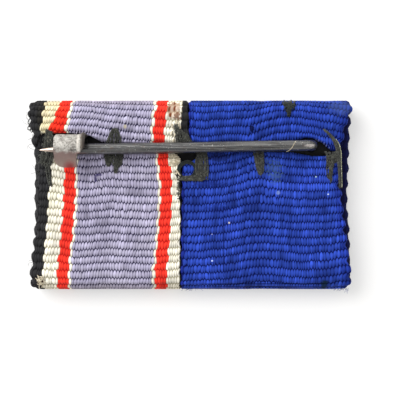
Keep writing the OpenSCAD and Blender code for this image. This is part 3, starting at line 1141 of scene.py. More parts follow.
def blue_ribbon(shape: BarShape) -> Ribbon:
    """The right ribbon, with its rib lines that fan out from the stitches.

    Args:
        shape: The bar's shape.

    Returns:
        The ribbon's description.
    """
    finish = WeaveFinish(
        name="blue_rep",
        ends=112,
        stripes=(
            Stripe(0, dyed(30, 46, 140), BLUE_GAP_SHADE), Stripe(2, BLUE, BLUE_GAP_SHADE),
            Stripe(108, dyed(34, 56, 150), BLUE_GAP_SHADE)),
        fold_shade=(1.0, 0.9, 0.78),
        drift=linear(255, 240, 250),
        sheen_tint=linear(60, 90, 200),
        gloss=0.04,
        grain=0.32,
        uneven=1.7,
        stains=(
            Stain((7.9, 2.5, 3.0), (0.75, 0.75, 0.6), dyed(62, 84, 108), 0.45, 2.4),
            Stain((8.1, 1.7, 3.0), (0.6, 0.6, 0.6), dyed(56, 80, 120), 0.5, 2.4),
            Stain((7.5, 3.0, 3.0), (0.5, 0.4, 0.6), dyed(44, 62, 84), 0.6, 2.0, True),
            Stain((8.35, 0.19, 3.0), (0.22, 0.2, 0.6), dyed(120, 140, 190), 0.6, 0.5),
            Stain((3.67, -2.67, 3.0), (0.1, 0.1, 0.6), dyed(225, 215, 215), 0.9, 0.3),
            Stain((2.05, -3.77, 3.0), (0.07, 0.07, 0.6), dyed(150, 160, 220), 0.9, 0.3),
            Stain((2.05, -6.3, 3.0), (0.1, 0.08, 0.6), dyed(190, 205, 240), 0.9, 0.3),
            Stain((11.97, 1.72, 3.0), (0.08, 0.08, 0.6), dyed(170, 200, 220), 0.9, 0.3),
            Stain((13.12, 0.05, 3.0), (0.07, 0.07, 0.6), dyed(200, 215, 225), 0.9, 0.3),
            Stain((14.5, 8.3, 2.6), (1.3, 0.8, 1.2), dyed(70, 88, 140), 0.4, 1.3),
            # Dark navy on the front layer's right edge, below the back flaps: partly a dark selvage, partly
            # painted shade
            Stain((15.3, 0.0, 0.5), (1.3, 14.0, 1.75), dyed(20, 18, 44), 0.88, 0.25),
            Stain((12.8, -8.6, 2.2), (0.35, 0.6, 1.2), dyed(16, 36, 44), 0.8, 0.9),
            # Two thin darker lines along the bottom fold, and a greyer band on its outside
            Stain((7.2, -8.52, 2.3), (8.4, 0.06, 1.0), linear(110, 112, 130), 0.9, 0.1, blend=Blend.MULTIPLY),
            Stain((7.2, -8.8, 2.0), (8.4, 0.06, 1.0), linear(120, 116, 150), 0.8, 0.1, blend=Blend.MULTIPLY),
            Stain((6.0, -8.9, 1.5), (7.4, 0.3, 0.5), dyed(70, 60, 120), 0.4, 1.4),
            Stain((3.15, -4.4, 3.0), (0.10, 4.6, 0.6), dyed(8, 16, 70), 0.6, 0.6),
            Stain((1.6, 1.0, 3.0), (1.6, 0.30, 0.6), dyed(10, 20, 84), 0.45, 1.4),
            Stain((2.6, -1.3, 3.0), (1.2, 0.40, 0.6), dyed(10, 20, 84), 0.4, 1.6),
            Stain((5.85, 6.3, 3.0), (0.22, 0.36, 0.6), dyed(6, 8, 44), 0.9, 0.5),
            Stain((7.0, 7.2, 2.8), (9.0, 2.2, 1.4), linear(234, 238, 240), 1.0, 0.3, blend=Blend.MULTIPLY),
            # Dark patch below the lower hem, under the pin: painted shadow
            Stain((2.7, 3.6, 3.0), (1.2, 0.5, 0.6), dyed(14, 16, 50), 0.6, 0.6),
        ),
    )
    return Ribbon(
        side=Side.BLUE,
        shape=shape,
        finish=finish,
        marks=(0, 14, 42, 61, 94, 112),
        lower_guides=((-4.0, 1.4, 5.02, 8.06, 12.16), (9.0, 1.2, 5.02, 8.06, 12.16)),
        upper_guides=((30.5, 1.5, 5.02, 8.06, 12.16), (35.0, 1.6, 5.02, 8.06, 12.16)),
        front_guides=(2.2, 5.9, 8.5, 12.9),
        rib_rows=((-4.41, 0), (-2.204, 3), (7.355, 16), (8.81, 18), (31.03, 48), (33.94, 52), (35.4, 54)),
        lower_shift=(
            (-0.81, 0.19, 0.19, 0.25, 0.13), (0.52, 0.11, 0.16, 0.19, 0.10), (1.38, 0.10, 0.15, 0.15, 0.05),
            (2.24, 0.07, 0.09, 0.08, 0.00), (3.10, 0.00, 0.00, 0.00, 0.00), (3.96, -0.18, -0.17, -0.11, -0.10),
            (4.82, -0.40, -0.36, -0.32, -0.19), (5.68, -0.73, -0.57, -0.48, -0.40),
            (6.53, -0.92, -0.65, -0.55, -0.50), (7.39, -0.71, -0.57, -0.56, -0.47),
            (8.25, -0.61, -0.49, -0.46, -0.36), (9.11, -0.49, -0.43, -0.40, -0.25),
            (9.97, -0.41, -0.34, -0.32, -0.21), (10.83, -0.38, -0.31, -0.30, -0.12),
            (11.69, -0.37, -0.31, -0.33, -0.12), (12.55, -0.36, -0.34, -0.37, -0.19),
            (13.40, -0.40, -0.38, -0.42, -0.29), (14.26, -0.62, -0.53, -0.63, -0.48),
            (15.12, -0.67, -0.57, -0.72, -0.57),
        ),
        upper_shift=(
            (-0.24, 0.09, 0.19, 0.23), (0.62, 0.17, 0.18, 0.23), (1.48, 0.24, 0.29, 0.38),
            (2.34, 0.12, 0.16, 0.20), (3.20, 0.04, 0.06, 0.10), (4.05, 0.00, 0.00, 0.00),
            (4.91, 0.04, 0.00, 0.10), (5.77, 0.00, 0.03, 0.22), (6.63, -0.24, -0.30, -0.25),
            (7.49, -0.54, -0.55, -0.57), (8.35, -0.70, -0.76, -0.80), (9.21, -0.74, -0.90, -0.86),
            (10.06, -0.78, -0.85, -0.92), (10.92, -0.68, -0.70, -0.76), (11.78, -0.53, -0.55, -0.73),
            (12.64, -0.36, -0.39, -0.38), (13.50, -0.28, -0.33, -0.34), (14.36, -0.12, -0.11, -0.08),
            (15.22, 0.10, 0.16, 0.19),
        ),
    )


# Metal


@dataclass(frozen=True)
class SheetFinish:
    """Tinned, tarnished and scratched sheet, with painted shade, a painted highlight and a painted reflection.
    """

    name: str = "tarnished_sheet"
    bright: Colour = linear(190, 187, 180)
    dull: Colour = linear(112, 107, 101)
    lip: Colour = linear(158, 140, 131)
    # Lip colour near the bend, darker as painted shade
    lip_shaded_top: Colour = linear(142, 120, 116)
    lip_mottle: Colour = linear(130, 116, 108)
    # Dark of the pits, also used for painted shade in the dent
    dark: Colour = linear(30, 27, 24)
    # Painted reflection of the red stripe
    red_reflection: Colour = linear(150, 44, 50)
    # Painted highlight on the bevel of the flared rim
    bevel_highlight: Colour = linear(214, 208, 198)
    # Painted shade of the flared rim
    rim: Colour = linear(70, 62, 54)
    # Near black for the low parts in the seam: painted shade
    slot_shade: Colour = linear(10, 10, 11)

    def material(self, effects: Effects) -> bpy.types.Material:
        """Builds the material.

        Args:
            effects: The shared shader groups.

        Returns:
            The finished material.
        """
        made, board, shader = new_material(self.name)
        worn = board.group(effects.scratches, {"Length": 0.5, "Size": 0.35})
        x, y, z = board.split(board.place())
        coarse = board.noise(board.place(), 2300.0, 4.0, 0.62)
        speckle = board.noise(board.place(), 6500.0, 3.0, 0.7)
        # Everything above the ragged line where the lip starts
        worked = ((coarse - 0.5) * (1.1 * MM) + y).ramp(3.75 * MM, 4.25 * MM)
        top = board.mix((coarse * 0.55 + speckle * 0.45).ramp(0.34, 0.64), self.dull, self.bright)
        # The lip's colour is partly its tarnish and partly a painted reflection of the ribbons; it darkens
        # towards the bend as painted shade
        low = board.mix(y.ramp(2.6 * MM, 3.9 * MM), self.lip, self.lip_shaded_top)
        low = board.mix(worn["Mottle"].ramp(0.35, 0.7) * 0.4, low, self.lip_mottle)
        colour = board.mix(worked, low, top)
        colour = board.mix(speckle.ramp(0.34, 0.41).flipped() * worked * 0.62, colour, self.dark)
        # Painted shade in the dent by the right edge, in the pits' dark colour
        crease_shade = effects.spot(board, (-10.85, 4.15, 5.3), (0.5, 0.2, 0.8), 1.3, 0.6)
        colour = board.mix(crease_shade * 0.55, colour, self.dark)
        # Painted reflection of the red stripe on the lower lip
        reflection_mask = effects.spot(board, (-11.3, 2.55, 4.5), (0.85, 1.15, 1.2), 0.1, 0.95)
        colour = board.mix(reflection_mask * 0.9, colour, self.red_reflection)
        # Painted highlight on the bevel of the flared right rim
        bevel = x.ramp(-10.62 * MM, -10.48 * MM) * x.ramp(-10.44 * MM, -10.30 * MM).flipped()
        colour = board.mix(bevel * worked * 0.55, colour, self.bevel_highlight)
        # Painted shade on the flared rim beyond the bevel
        colour = board.mix(x.ramp(-10.30 * MM, -10.12 * MM) * worked * 0.9, colour, self.rim)
        # Low parts of the sheet, the plate and the catch's foot in the seam, go near black as painted shade
        colour = board.mix(z.ramp(2.4 * MM, 3.4 * MM), self.slot_shade, colour)
        board.feed(shader, {
            "Base Color": colour,
            "Roughness": worked * 0.25 + 0.33 + speckle * 0.12,
            "Metallic": worked * -0.35 + 0.85,
            "Normal": board.bump((coarse + speckle * 0.6) * (worked * 0.85 + 0.15), 0.6, 0.02),
        })
        return made


@dataclass(frozen=True)
class WireFinish:
    """Dark drawn wire with long scratches, a worn point and painted highlights on the elbow and on the point's
    top.
    """

    name: str = "drawn_wire"
    steel: Colour = linear(76, 76, 77)
    scratch: Colour = linear(122, 122, 121)
    groove: Colour = linear(34, 34, 36)
    fleck: Colour = linear(214, 212, 206)
    rust: Colour = linear(96, 74, 60)
    # Painted highlight on the elbow
    elbow_highlight: Colour = linear(214, 206, 202)
    # Bright top of the point: painted highlight over worn metal
    point: Colour = linear(206, 186, 172)

    def material(self, effects: Effects) -> bpy.types.Material:
        """Builds the material.

        Args:
            effects: The shared shader groups.

        Returns:
            The finished material.
        """
        made, board, shader = new_material(self.name)
        worn = board.group(effects.scratches, {"Length": 1.6, "Size": 1.0})
        deep = board.group(effects.scratches, {"Length": 0.7, "Size": 0.45})
        x, _, z = board.split(board.place())
        lines = worn["Lines"].ramp(0.42, 0.62)
        fleck = board.noise(board.place(), 7000.0, 2.0, 0.7)
        colour = board.mix(lines, self.steel, self.scratch)
        colour = board.mix(deep["Lines"].ramp(0.36, 0.44).flipped() * 0.75, colour, self.groove)
        colour = board.mix(fleck.ramp(0.64, 0.70) * 0.7, colour, self.fleck)
        colour = board.mix(worn["Mottle"].ramp(0.52, 0.75) * 0.45, colour, self.rust)
        # Painted highlight on the elbow's bend
        elbow = effects.spot(board, (11.4, 4.62, 4.25), (0.65, 0.2, 0.35), 0.8, 0.7)
        colour = board.mix(elbow * 0.85, colour, self.elbow_highlight)
        # The point is worn metal, painted bright on top as a highlight and rust brown underneath
        tip = x.ramp(-13.7 * MM, -12.3 * MM).flipped()
        upper = z.ramp(3.62 * MM, 3.86 * MM)
        colour = board.mix(tip, colour, board.mix(upper, self.rust, self.point))
        board.feed(shader, {
            "Base Color": colour,
            "Roughness": lines * 0.16 + 0.26,
            "Metallic": 0.9,
            "Normal": board.bump(worn["Lines"] + deep["Lines"] * 1.5 + fleck * 0.4, 0.7, 0.02),
        })
        return made


@dataclass(frozen=True)
class Catch:
    """Sheet catch: a foot, a back wall, a bend over the pin and a sloping lip."""

    left: float = -12.71
    right: float = -10.21
    back_y: float = 5.65
    bend: float = 1.1
    bend_z: float = 4.754
    slope: float = 35.0
    lip_length: float = 1.671
    sheet: float = 0.35
    foot_y: float = 4.17
    plate_top: float = 1.9
    foot_bend: float = 0.25
    corner: float = 0.9
    # How far the left edge lies in above the lip, and the right edge along it
    left_inset: float = 0.22
    lip_inset: float = 0.45
    # The bent rim at the right: its share of the width, its reach, and how far it stands off
    rim_share: float = 0.16
    rim_reach: float = 0.28
    flare: float = 0.13
    top_flare: float = 0.16
    dent: float = 0.10
    waves: float = 0.018
    lip_lift: float = 0.05
    columns: int = 34

    def profile(self) -> tuple[np.ndarray, np.ndarray]:
        """Middle line of the sheet from the foot to the lip.

        Returns:
            Y and Z of each step, and the angles of their outward normals in radians.
        """
        half = self.sheet / 2
        low, wall, bend = self.plate_top + half, self.back_y - half, self.bend - half
        knee, rise, slope = wall - self.foot_bend, low + self.foot_bend, math.radians(self.slope)
        rows = [(y, low, -math.pi / 2) for y in np.linspace(self.foot_y, knee, 6)]
        for turn in np.linspace(-math.pi / 2, 0, 7)[1:]:
            y = knee + self.foot_bend * math.cos(turn)
            rows.append((y, rise + self.foot_bend * math.sin(turn), turn))
        rows += [(wall, z, 0.0) for z in np.linspace(rise, self.bend_z, 16)[1:]]
        for turn in np.linspace(0, math.pi / 2 + slope, 30)[1:]:
            y = self.back_y - self.bend + bend * math.cos(turn)
            rows.append((y, self.bend_z + bend * math.sin(turn), turn))
        y, z, end = rows[-1]
        for step in np.linspace(0, self.lip_length, 22)[1:]:
            rows.append((y - math.cos(slope) * step, z - math.sin(slope) * step, end))
        table = np.array(rows)
        return table[:, :2], table[:, 2]

    def build(self) -> bpy.types.Object:
        """Makes the catch as a bent, worn sheet with a flared right rim.

        Returns:
            The catch as a plain mesh object.
        """
        points, angles = self.profile()
        run = np.concatenate([[0], np.cumsum(np.linalg.norm(np.diff(points, axis=0), axis=1))])
        to_end = (run[-1] - run)[:, None]
        across = np.linspace(0, 1, self.columns)[None, :]
        cut = np.clip(self.corner - to_end, 0, self.corner)
        left = self.left + self.corner - np.sqrt(self.corner ** 2 - cut ** 2)
        left = left + self.left_inset * eased(to_end, 2.9, 3.7)
        body = eased(to_end, 1.5, 2.2)
        right = self.right - self.lip_inset * (1 - eased(to_end, 1.2, 1.9)) + self.rim_reach * body
        x = left + (right - left) * across
        rim = np.clip((across - (1 - self.rim_share)) / self.rim_share, 0, 1) ** 1.6
        rim = rim * body * eased(-to_end, -6.6, -5.8)
        lift = rim * (self.flare + self.top_flare * np.clip(np.cos(angles), 0, 1)[:, None])
        lift = lift - self.dent * np.exp(-((x + 10.75) / 0.4) ** 2 - ((to_end - 1.55) / 0.3) ** 2)
        lift = lift + self.waves * np.sin(3.1 * x + 2.3 * to_end) * np.sin(2.2 * to_end + 1.0)
        lift = lift + self.lip_lift * np.clip(1 - to_end / 0.7, 0, 1) ** 2
        y = points[:, :1] + lift * np.cos(angles)[:, None]
        z = points[:, 1:] + lift * np.sin(angles)[:, None]
        grid = np.stack([x, y, z], -1).reshape(-1, 3) * MM
        index = np.arange(len(grid)).reshape(len(points), self.columns)
        mesh = bpy.data.meshes.new("catch")
        mesh.from_pydata(grid.tolist(), [], quads(index, flip=True))
        made = new_object("catch", mesh)
        wall = made.modifiers.new("wall", "SOLIDIFY")
        wall.thickness = self.sheet * MM
        wall.offset = 0.0
        bevelled(made, 0.07, 3, 50)
        return settled(made)


@dataclass(frozen=True)
class Plate:
    """The stiffening plate inside the cloth, cut from the CAD piece below its catch."""

    top: float = 1.95
    rounding: float = 0.08

    def build(self) -> bpy.types.Object:
        """Copies the plate, closes the place of the catch's foot and rounds the rim.

        Returns:
            The plate as a plain mesh object.
        """
        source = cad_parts["plate_and_catch"]
        shell = bmesh.new()
        shell.from_mesh(source.data)
        bmesh.ops.remove_doubles(shell, verts=shell.verts, dist=1e-7)
        high = [v for v in shell.verts if v.co.z > self.top * MM]
        bmesh.ops.delete(shell, geom=high, context="VERTS")
        bmesh.ops.holes_fill(shell, edges=[e for e in shell.edges if e.is_boundary], sides=0)
        bmesh.ops.dissolve_limit(shell, angle_limit=math.radians(1), verts=shell.verts, edges=shell.edges)
        mesh = bpy.data.meshes.new("plate")
        shell.to_mesh(mesh)
        shell.free()
        made = new_object("plate", mesh)
        bevelled(made, self.rounding, 2, 35)
        return settled(made)


@dataclass(frozen=True)
class Pin:
    """Wire pin: a tapered shaft, an elbow and a leg with a flattened head."""

    leg_x: float = 11.6
    leg_y: float = 4.69
    angle: float = 1.0
    length: float = 25.9
    straight: float = 21.4
    height: float = 3.77
    radius: float = 0.52
    elbow: float = 0.75
    head_low: float = 1.15
    head_radius: float = 0.85
    head_thick: float = 0.28
    head_round: float = 0.05
    # Share of the taper from the point, and share of the full radius there
    taper_rows: tuple = ((0.00, 0.05), (0.015, 0.12), (0.06, 0.20), (0.32, 0.56), (0.70, 0.86), (1.00, 1.00))
    waves: int = 60
    wave_height: float = 0.0035
    sides: int = 40
    seed: int = 5

    def rings(self) -> list[tuple[float, float, float, float]]:
        """Middle line from the point to the head.

        Returns:
            For each ring: distance from the leg, height, angle of the run and radius.
        """
        taper = self.length - self.straight
        rows = np.array(self.taper_rows)
        found = []
        for share in np.concatenate([np.linspace(0, 0.06, 7), np.linspace(0.06, 1, 46)[1:]]):
            size = self.radius * float(np.interp(share, rows[:, 0], rows[:, 1]))
            found.append((self.length - taper * share, self.height, 0.0, size))
        random = np.random.default_rng(self.seed)
        waves = random.normal(0, self.wave_height, self.waves)
        stations = np.linspace(self.length - taper, self.elbow, 190)
        ripple = np.interp(stations, np.linspace(stations[-1], stations[0], self.waves), waves)
        for distance, wave in zip(stations[1:], ripple[1:]):
            found.append((float(distance), self.height, 0.0, self.radius + float(wave)))
        for turn in np.linspace(0, math.pi / 2, 15)[1:]:
            distance, fall = self.elbow * (1 - math.sin(turn)), self.elbow * (1 - math.cos(turn))
            found.append((distance, self.height - fall, turn, self.radius))
        head_top = self.head_low + self.head_thick
        rim = self.head_radius - self.head_round
        found += [(0.0, z, math.pi / 2, size) for z, size in (
            *((z, self.radius) for z in np.linspace(self.height - self.elbow, head_top, 12)[1:]),
            (head_top, rim), (head_top - self.head_round, self.head_radius),
            (self.head_low + self.head_round, self.head_radius), (self.head_low, rim),
        )]
        return found

    def build(self) -> bpy.types.Object:
        """Makes the pin as one closed tube along its middle line.

        Returns:
            The pin's object.
        """
        lean = math.radians(self.angle)
        along = np.array((-math.cos(lean), -math.sin(lean), 0.0))
        aside = np.array((math.sin(lean), -math.cos(lean), 0.0))
        base = np.array((self.leg_x, self.leg_y, 0.0))
        turns = np.linspace(0, 2 * math.pi, self.sides, endpoint=False)
        points = []
        for distance, height, bend, size in self.rings():
            centre = base + along * distance + np.array((0, 0, height))
            out = np.array((0, 0, math.cos(bend))) - along * math.sin(bend)
            points += [centre + size * (math.cos(t) * out + math.sin(t) * aside) for t in turns]
        index = np.arange(len(points)).reshape(-1, self.sides)
        faces = quads(np.column_stack([index, index[:, :1]]))
        faces += [index[0].tolist(), index[-1][::-1].tolist()]
        mesh = bpy.data.meshes.new("pin_wire")
        mesh.from_pydata((np.array(points) * MM).tolist(), [], faces)
        mesh.shade_smooth()
        return new_object("pin_wire", mesh)


class Metalwork:
    """The plate with its catch, and the pin."""

    def build(self, effects: Effects) -> list[bpy.types.Object]:
        """Args:
            effects: The shared shader groups.

        Returns:
            The three pieces.
        """
        sheet = SheetFinish().material(effects)
        plate, catch = Plate().build(), Catch().build()
        for piece in (plate, catch):
            piece.data.materials.clear()
            piece.data.materials.append(sheet)
            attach(piece, "bar")
            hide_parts("plate_and_catch")
        catch.data.shade_smooth()
        plate.data.shade_flat()
        pin = Pin().build()
        pin.data.materials.append(WireFinish().material(effects))
        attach(pin, "pin")
        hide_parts("pin")
        return [plate, catch, pin]


# Thread and fibres


@dataclass(frozen=True)
class Twist:
    """How a piece's strands are spun, in millimetres."""

    radius: float
    step: float
    sides: int = 5
    plies: int = 1
    offset: float = 0.0
    turn: float = 0.5
    fuzz: float = 0.0

    def inputs(self) -> dict[str, float | int]:
        """Values for the thread tree's inputs, by name."""
        return {
            "Ply Radius": self.radius * MM, "Ply Offset": self.offset * MM, "Turn": self.turn * MM,
            "Step": self.step * MM, "Plies": self.plies, "Sides": self.sides, "Fuzz": self.fuzz * MM}


class ThreadTree:
    """Geometry Nodes that turn drawn paths into twisted plies of thread."""

    INPUTS = {
        "Ply Radius": 0.00005, "Ply Offset": 0.00004, "Turn": 0.0005, "Step": 0.0001, "Plies": 2, "Sides": 5,
        "Fuzz": 0.0, "Seed": 1,
    }

    def __init__(self) -> None:
        """Builds the tree."""
        tree = bpy.data.node_groups.new("twisted_thread", "GeometryNodeTree")
        tree.interface.new_socket("Geometry", in_out="INPUT", socket_type="NodeSocketGeometry")
        for name, value in self.INPUTS.items():
            socket = tree.interface.new_socket(name, in_out="INPUT", socket_type=SOCKETS[type(value)])
            socket.default_value = value
        tree.interface.new_socket("Material", in_out="INPUT", socket_type="NodeSocketMaterial")
        tree.interface.new_socket("Geometry", in_out="OUTPUT", socket_type="NodeSocketGeometry")
        board = Board(tree)
        start = tree.nodes.new("NodeGroupInput")
        end = tree.nodes.new("NodeGroupOutput")
        given = {s.name: Wire(tree, s) for s in start.outputs if s.name}
        curve = board.wire("GeometryNodeMeshToCurve", {"Mesh": given["Geometry"]})
        curve = board.wire(
            "GeometryNodeResampleCurve", {"Curve": curve, "Length": given["Step"]}, mode="LENGTH")
        plies = board.node(
            "GeometryNodeDuplicateElements", {"Geometry": curve, "Amount": given["Plies"]}, domain="SPLINE")
        number, copies = Wire(tree, plies.outputs["Duplicate Index"]), Wire(tree, plies.outputs["Geometry"])
        length = board.wire("GeometryNodeSplineParameter", out="Length")
        angle = (length / given["Turn"] + number / given["Plies"]) * (2 * math.pi)
        normal = board.wire("GeometryNodeInputNormal")
        tangent = board.wire("GeometryNodeInputTangent")
        aside = board.vector("CROSS_PRODUCT", tangent, normal)
        out = board.scaled(normal, angle.math("COSINE") * given["Ply Offset"])
        over = board.scaled(aside, angle.math("SINE") * given["Ply Offset"])
        jitter = board.node("FunctionNodeRandomValue", data_type="FLOAT_VECTOR")
        low, high = [s for s in jitter.inputs if s.type == "VECTOR"][:2]
        low.default_value, high.default_value = (-1, -1, -1), (1, 1, 1)
        board.feed(jitter, {"Seed": given["Seed"]})
        stray = board.scaled(Wire(tree, jitter.outputs[0]), given["Fuzz"])
        move = board.vector("ADD", board.vector("ADD", out, over), stray)
        moved = board.wire("GeometryNodeSetPosition", {"Geometry": copies, "Offset": move})
        ring = board.wire(
            "GeometryNodeCurvePrimitiveCircle", {"Resolution": given["Sides"], "Radius": given["Ply Radius"]})
        tube = board.wire(
            "GeometryNodeCurveToMesh", {"Curve": moved, "Profile Curve": ring, "Fill Caps": True})
        smooth = board.wire("GeometryNodeSetShadeSmooth", {0: tube})
        real = board.wire("GeometryNodeRealizeInstances", {0: smooth})
        dressed = board.wire("GeometryNodeSetMaterial", {"Geometry": real, "Material": given["Material"]})
        board.feed(end, {0: dressed})
        self.tree = tree

    def grow(
        self, name: str, paths: list[np.ndarray], material: bpy.types.Material, twist: Twist,
    ) -> bpy.types.Object:
        """Grows thread on paths.

        Args:
            name: Name of the piece.
            paths: One array of points in millimetres for each strand.
            material: Finish of the thread.
            twist: How the strands are spun.

        Returns:
            The piece as a plain mesh object.
        """
        points = np.concatenate(paths) * MM
        edges, start = [], 0
        for path in paths:
            edges += [(start + k, start + k + 1) for k in range(len(path) - 1)]
            start += len(path)
        mesh = bpy.data.meshes.new(name)
        mesh.from_pydata(points.tolist(), edges, [])
        tone = mesh.attributes.new("strand", "FLOAT", "POINT")
        shades = np.concatenate([np.full(len(p), (k * 0.618) % 1.0) for k, p in enumerate(paths)])
        tone.data.foreach_set("value", shades.astype(np.float32))
        base = new_object(name, mesh)
        modifier = base.modifiers.new("thread", "NODES")
        modifier.node_group = self.tree
        named = {s.name: s.identifier for s in self.tree.interface.items_tree if s.in_out == "INPUT"}
        modifier[named["Material"]] = material
        for key, value in twist.inputs().items():
            modifier[named[key]] = value
        made = settled(base)
        made.data.materials.clear()
        made.data.materials.append(material)
        return made


@dataclass(frozen=True)
class ThreadFinish:
    """Thread or loose fibre, lighter and darker from strand to strand."""

    name: str
    light: Colour
    dark: Colour
    roughness: float = 0.7

    def material(self) -> bpy.types.Material:
        """Builds the material.

        Returns:
            The finished material.
        """
        made, board, shader = new_material(self.name)
        strand = board.wire("ShaderNodeAttribute", out="Fac", attribute_name="strand")
        fibre = board.noise(board.place(), 14000.0, 3.0, 0.6)
        mottle = board.noise(board.place(), 5200.0, 2.0, 0.6)
        share = strand * 0.2 + fibre.ramp(0.35, 0.7) * 0.25 + mottle.ramp(0.42, 0.70) * 0.6
        board.feed(shader, {
            "Base Color": board.mix(share.clamped(), self.dark, self.light),
            "Roughness": fibre * 0.2 + (self.roughness - 0.1),
            "Normal": board.bump(fibre, 0.5, 0.02),
            "Sheen Weight": 0.15,
            "Specular IOR Level": 0.3,
        })
        return made


class Yarn(Enum):
    """The kinds of thread and fibre, with their finishes."""

    SEWING = ThreadFinish("sewing_thread", linear(78, 80, 72), linear(7, 8, 7))
    DARK = ThreadFinish("dark_thread", linear(20, 36, 32), linear(3, 6, 7))
    BROKEN = ThreadFinish("broken_fibre", linear(104, 105, 94), linear(20, 21, 18))
    CREAM = ThreadFinish("cream_yarn", linear(236, 228, 206), linear(150, 136, 108))
    PALE = ThreadFinish("pale_thread", linear(214, 214, 186), linear(90, 94, 66))
    LILAC = ThreadFinish("cut_yarn", linear(226, 220, 234), linear(120, 112, 140))
    BLUE = ThreadFinish("cut_blue_yarn", linear(108, 124, 196), linear(26, 42, 120))


@dataclass(frozen=True)
class Fan:
    """Strands side by side from one short line to another."""

    start_a: tuple[float, float]
    start_b: tuple[float, float]
    end_a: tuple[float, float]
    end_b: tuple[float, float]
    strands: int
    layers: int = 2
    hairs: int = 26

    def start(self, share: float) -> np.ndarray:
        """Place at a share of the first line."""
        return np.array(self.start_a) * (1 - share) + np.array(self.start_b) * share

    def end(self, share: float) -> np.ndarray:
        """Place at a share of the last line."""
        return np.array(self.end_a) * (1 - share) + np.array(self.end_b) * share


# Each stitch: both ends of its first line and of its last line, and its strands
STITCHES = (
    Fan((-13.8, 6.2), (-13.2, 6.0), (-14.3, 4.4), (-13.0, 4.4), 8, hairs=60),
    Fan((-14.4, 4.0), (-13.0, 3.9), (-14.5, 2.9), (-13.4, 2.8), 8, hairs=60),
    Fan((-13.9, 3.0), (-13.45, 2.9), (-13.45, 0.7), (-13.25, 0.6), 3, layers=1),
    Fan((-7.42, 6.36), (-7.02, 6.36), (-8.05, 4.9), (-6.65, 4.9), 7, hairs=40),
    Fan((-8.35, 3.95), (-7.4, 3.9), (-8.0, 2.75), (-7.8, 2.7), 6, hairs=30),
    Fan((-7.45, 3.9), (-6.45, 3.8), (-7.35, 2.75), (-6.6, 2.75), 6, hairs=30),
    Fan((-7.35, 3.0), (-6.9, 3.0), (-7.3, 2.15), (-7.08, 2.1), 4),
    Fan((-1.5, 6.85), (-1.3, 6.75), (-1.3, 4.9), (0.0, 4.9), 8, hairs=50),
    Fan((-0.7, 6.0), (-0.3, 5.8), (-0.6, 4.9), (0.3, 4.9), 5, hairs=20),
    Fan((0.62, 4.1), (1.5, 4.1), (0.72, 1.5), (1.6, 1.4), 7, hairs=60),
    Fan((-0.95, 1.36), (-1.0, 1.76), (1.45, 1.3), (1.55, 1.8), 5, hairs=70),
    Fan((0.5, 3.4), (0.8, 3.4), (0.56, 1.6), (0.85, 1.6), 4, hairs=16),
    Fan((5.8, 4.0), (6.95, 4.0), (6.55, 1.8), (6.85, 1.75), 7, hairs=36),
    Fan((12.75, 4.0), (13.95, 4.0), (13.0, 2.85), (13.85, 2.85), 7, hairs=50),
    Fan((12.95, 3.4), (13.7, 3.4), (13.15, 1.3), (13.5, 1.2), 5, hairs=24),
)
# The dark green stitch at the upper fold
FOLD_STITCHES = (
    Fan((8.75, 8.92), (10.05, 8.92), (8.95, 8.3), (9.85, 8.3), 8, hairs=30),
    Fan((9.05, 8.5), (9.75, 8.5), (9.2, 7.55), (9.5, 7.5), 4, hairs=20),
)
# Thread that curves from the upper hem down the right edge
EDGE_THREAD = (
    (12.65, 6.28), (13.15, 5.85), (13.6, 5.35), (13.95, 4.75), (14.12, 4.0), (14.13, 3.2), (14.18, 2.3),
    (14.22, 1.4), (14.25, 0.6),
)
# Fibre that clings to the pin, from above
PIN_FIBRE = ((9.05, 4.07), (9.35, 4.2), (9.62, 4.5), (9.75, 4.8), (9.98, 5.1))
# Middle and radius of each loop of the selvage thread
KNOT_LOOPS = (
    (-15.45, 7.05, 0.22), (-15.3, 6.75, 0.26), (-15.5, 6.45, 0.2), (-15.3, 6.2, 0.16), (-15.0, 6.55, 0.3),
    (-14.95, 7.3, 0.22),
)
# Middle and length of each white float that stands up
PUFFS = (
    (-1.35, 6.9, 0.4), (-1.12, 6.7, 0.42), (-1.0, 6.35, 0.3), (-1.75, 6.6, 0.3), (-1.8, 5.9, 0.3),
    (-1.5, 5.7, 0.25), (-1.62, 5.2, 0.24), (-13.55, 5.5, 0.18), (-13.38, 5.27, 0.2), (-13.6, 5.1, 0.12),
)
# X, Y and rise of the two yarns that cross the hole beside the joint
CROSSING_YARNS = (
    ((-1.45, 2.5, -0.05), (-1.25, 2.2, 0.06), (-1.05, 1.9, 0.06), (-0.9, 1.75, -0.05)),
    ((-1.4, 1.9, -0.05), (-1.3, 2.15, 0.04), (-1.2, 2.4, -0.05)),
)
# Y of the places on the left selvage round which hairs stand off
HAIRY_PLACES = (6.7, 6.2, 4.6, 3.5, 1.5, -1.0, -6.5)


def curled(start: np.ndarray, turn: float, curl: float, size: float, count: int) -> np.ndarray:
    """Flat path of a hair that bends evenly.

    Args:
        start: Its first place.
        turn: Angle at which it sets out, in radians.
        curl: How far it turns in all, in radians.
        size: Its length.
        count: Number of points.

    Returns:
        X and Y of each point.
    """
    heading = turn + curl * np.linspace(0, 1, count)
    moves = np.column_stack([np.cos(heading), np.sin(heading)]) * size / (count - 1)
    return start + np.cumsum(moves, 0)


def smoothed(points: tuple, steps: int) -> np.ndarray:
    """A smooth path through a few points.

    Args:
        points: The points.
        steps: Number of points of the path.

    Returns:
        The path's points.
    """
    known = np.array(points, float)
    at = np.linspace(0, len(known) - 1, len(known) * 12)
    rough = np.column_stack([np.interp(at, np.arange(len(known)), column) for column in known.T])
    kernel = np.hanning(15)
    ends = len(kernel) // 2
    padded = np.concatenate([np.repeat(rough[:1], ends, 0), rough, np.repeat(rough[-1:], ends, 0)])
    smooth = np.column_stack([np.convolve(column, kernel / kernel.sum(), "valid") for column in padded.T])
    return smooth[np.linspace(0, len(smooth) - 1, steps).round().astype(int)]


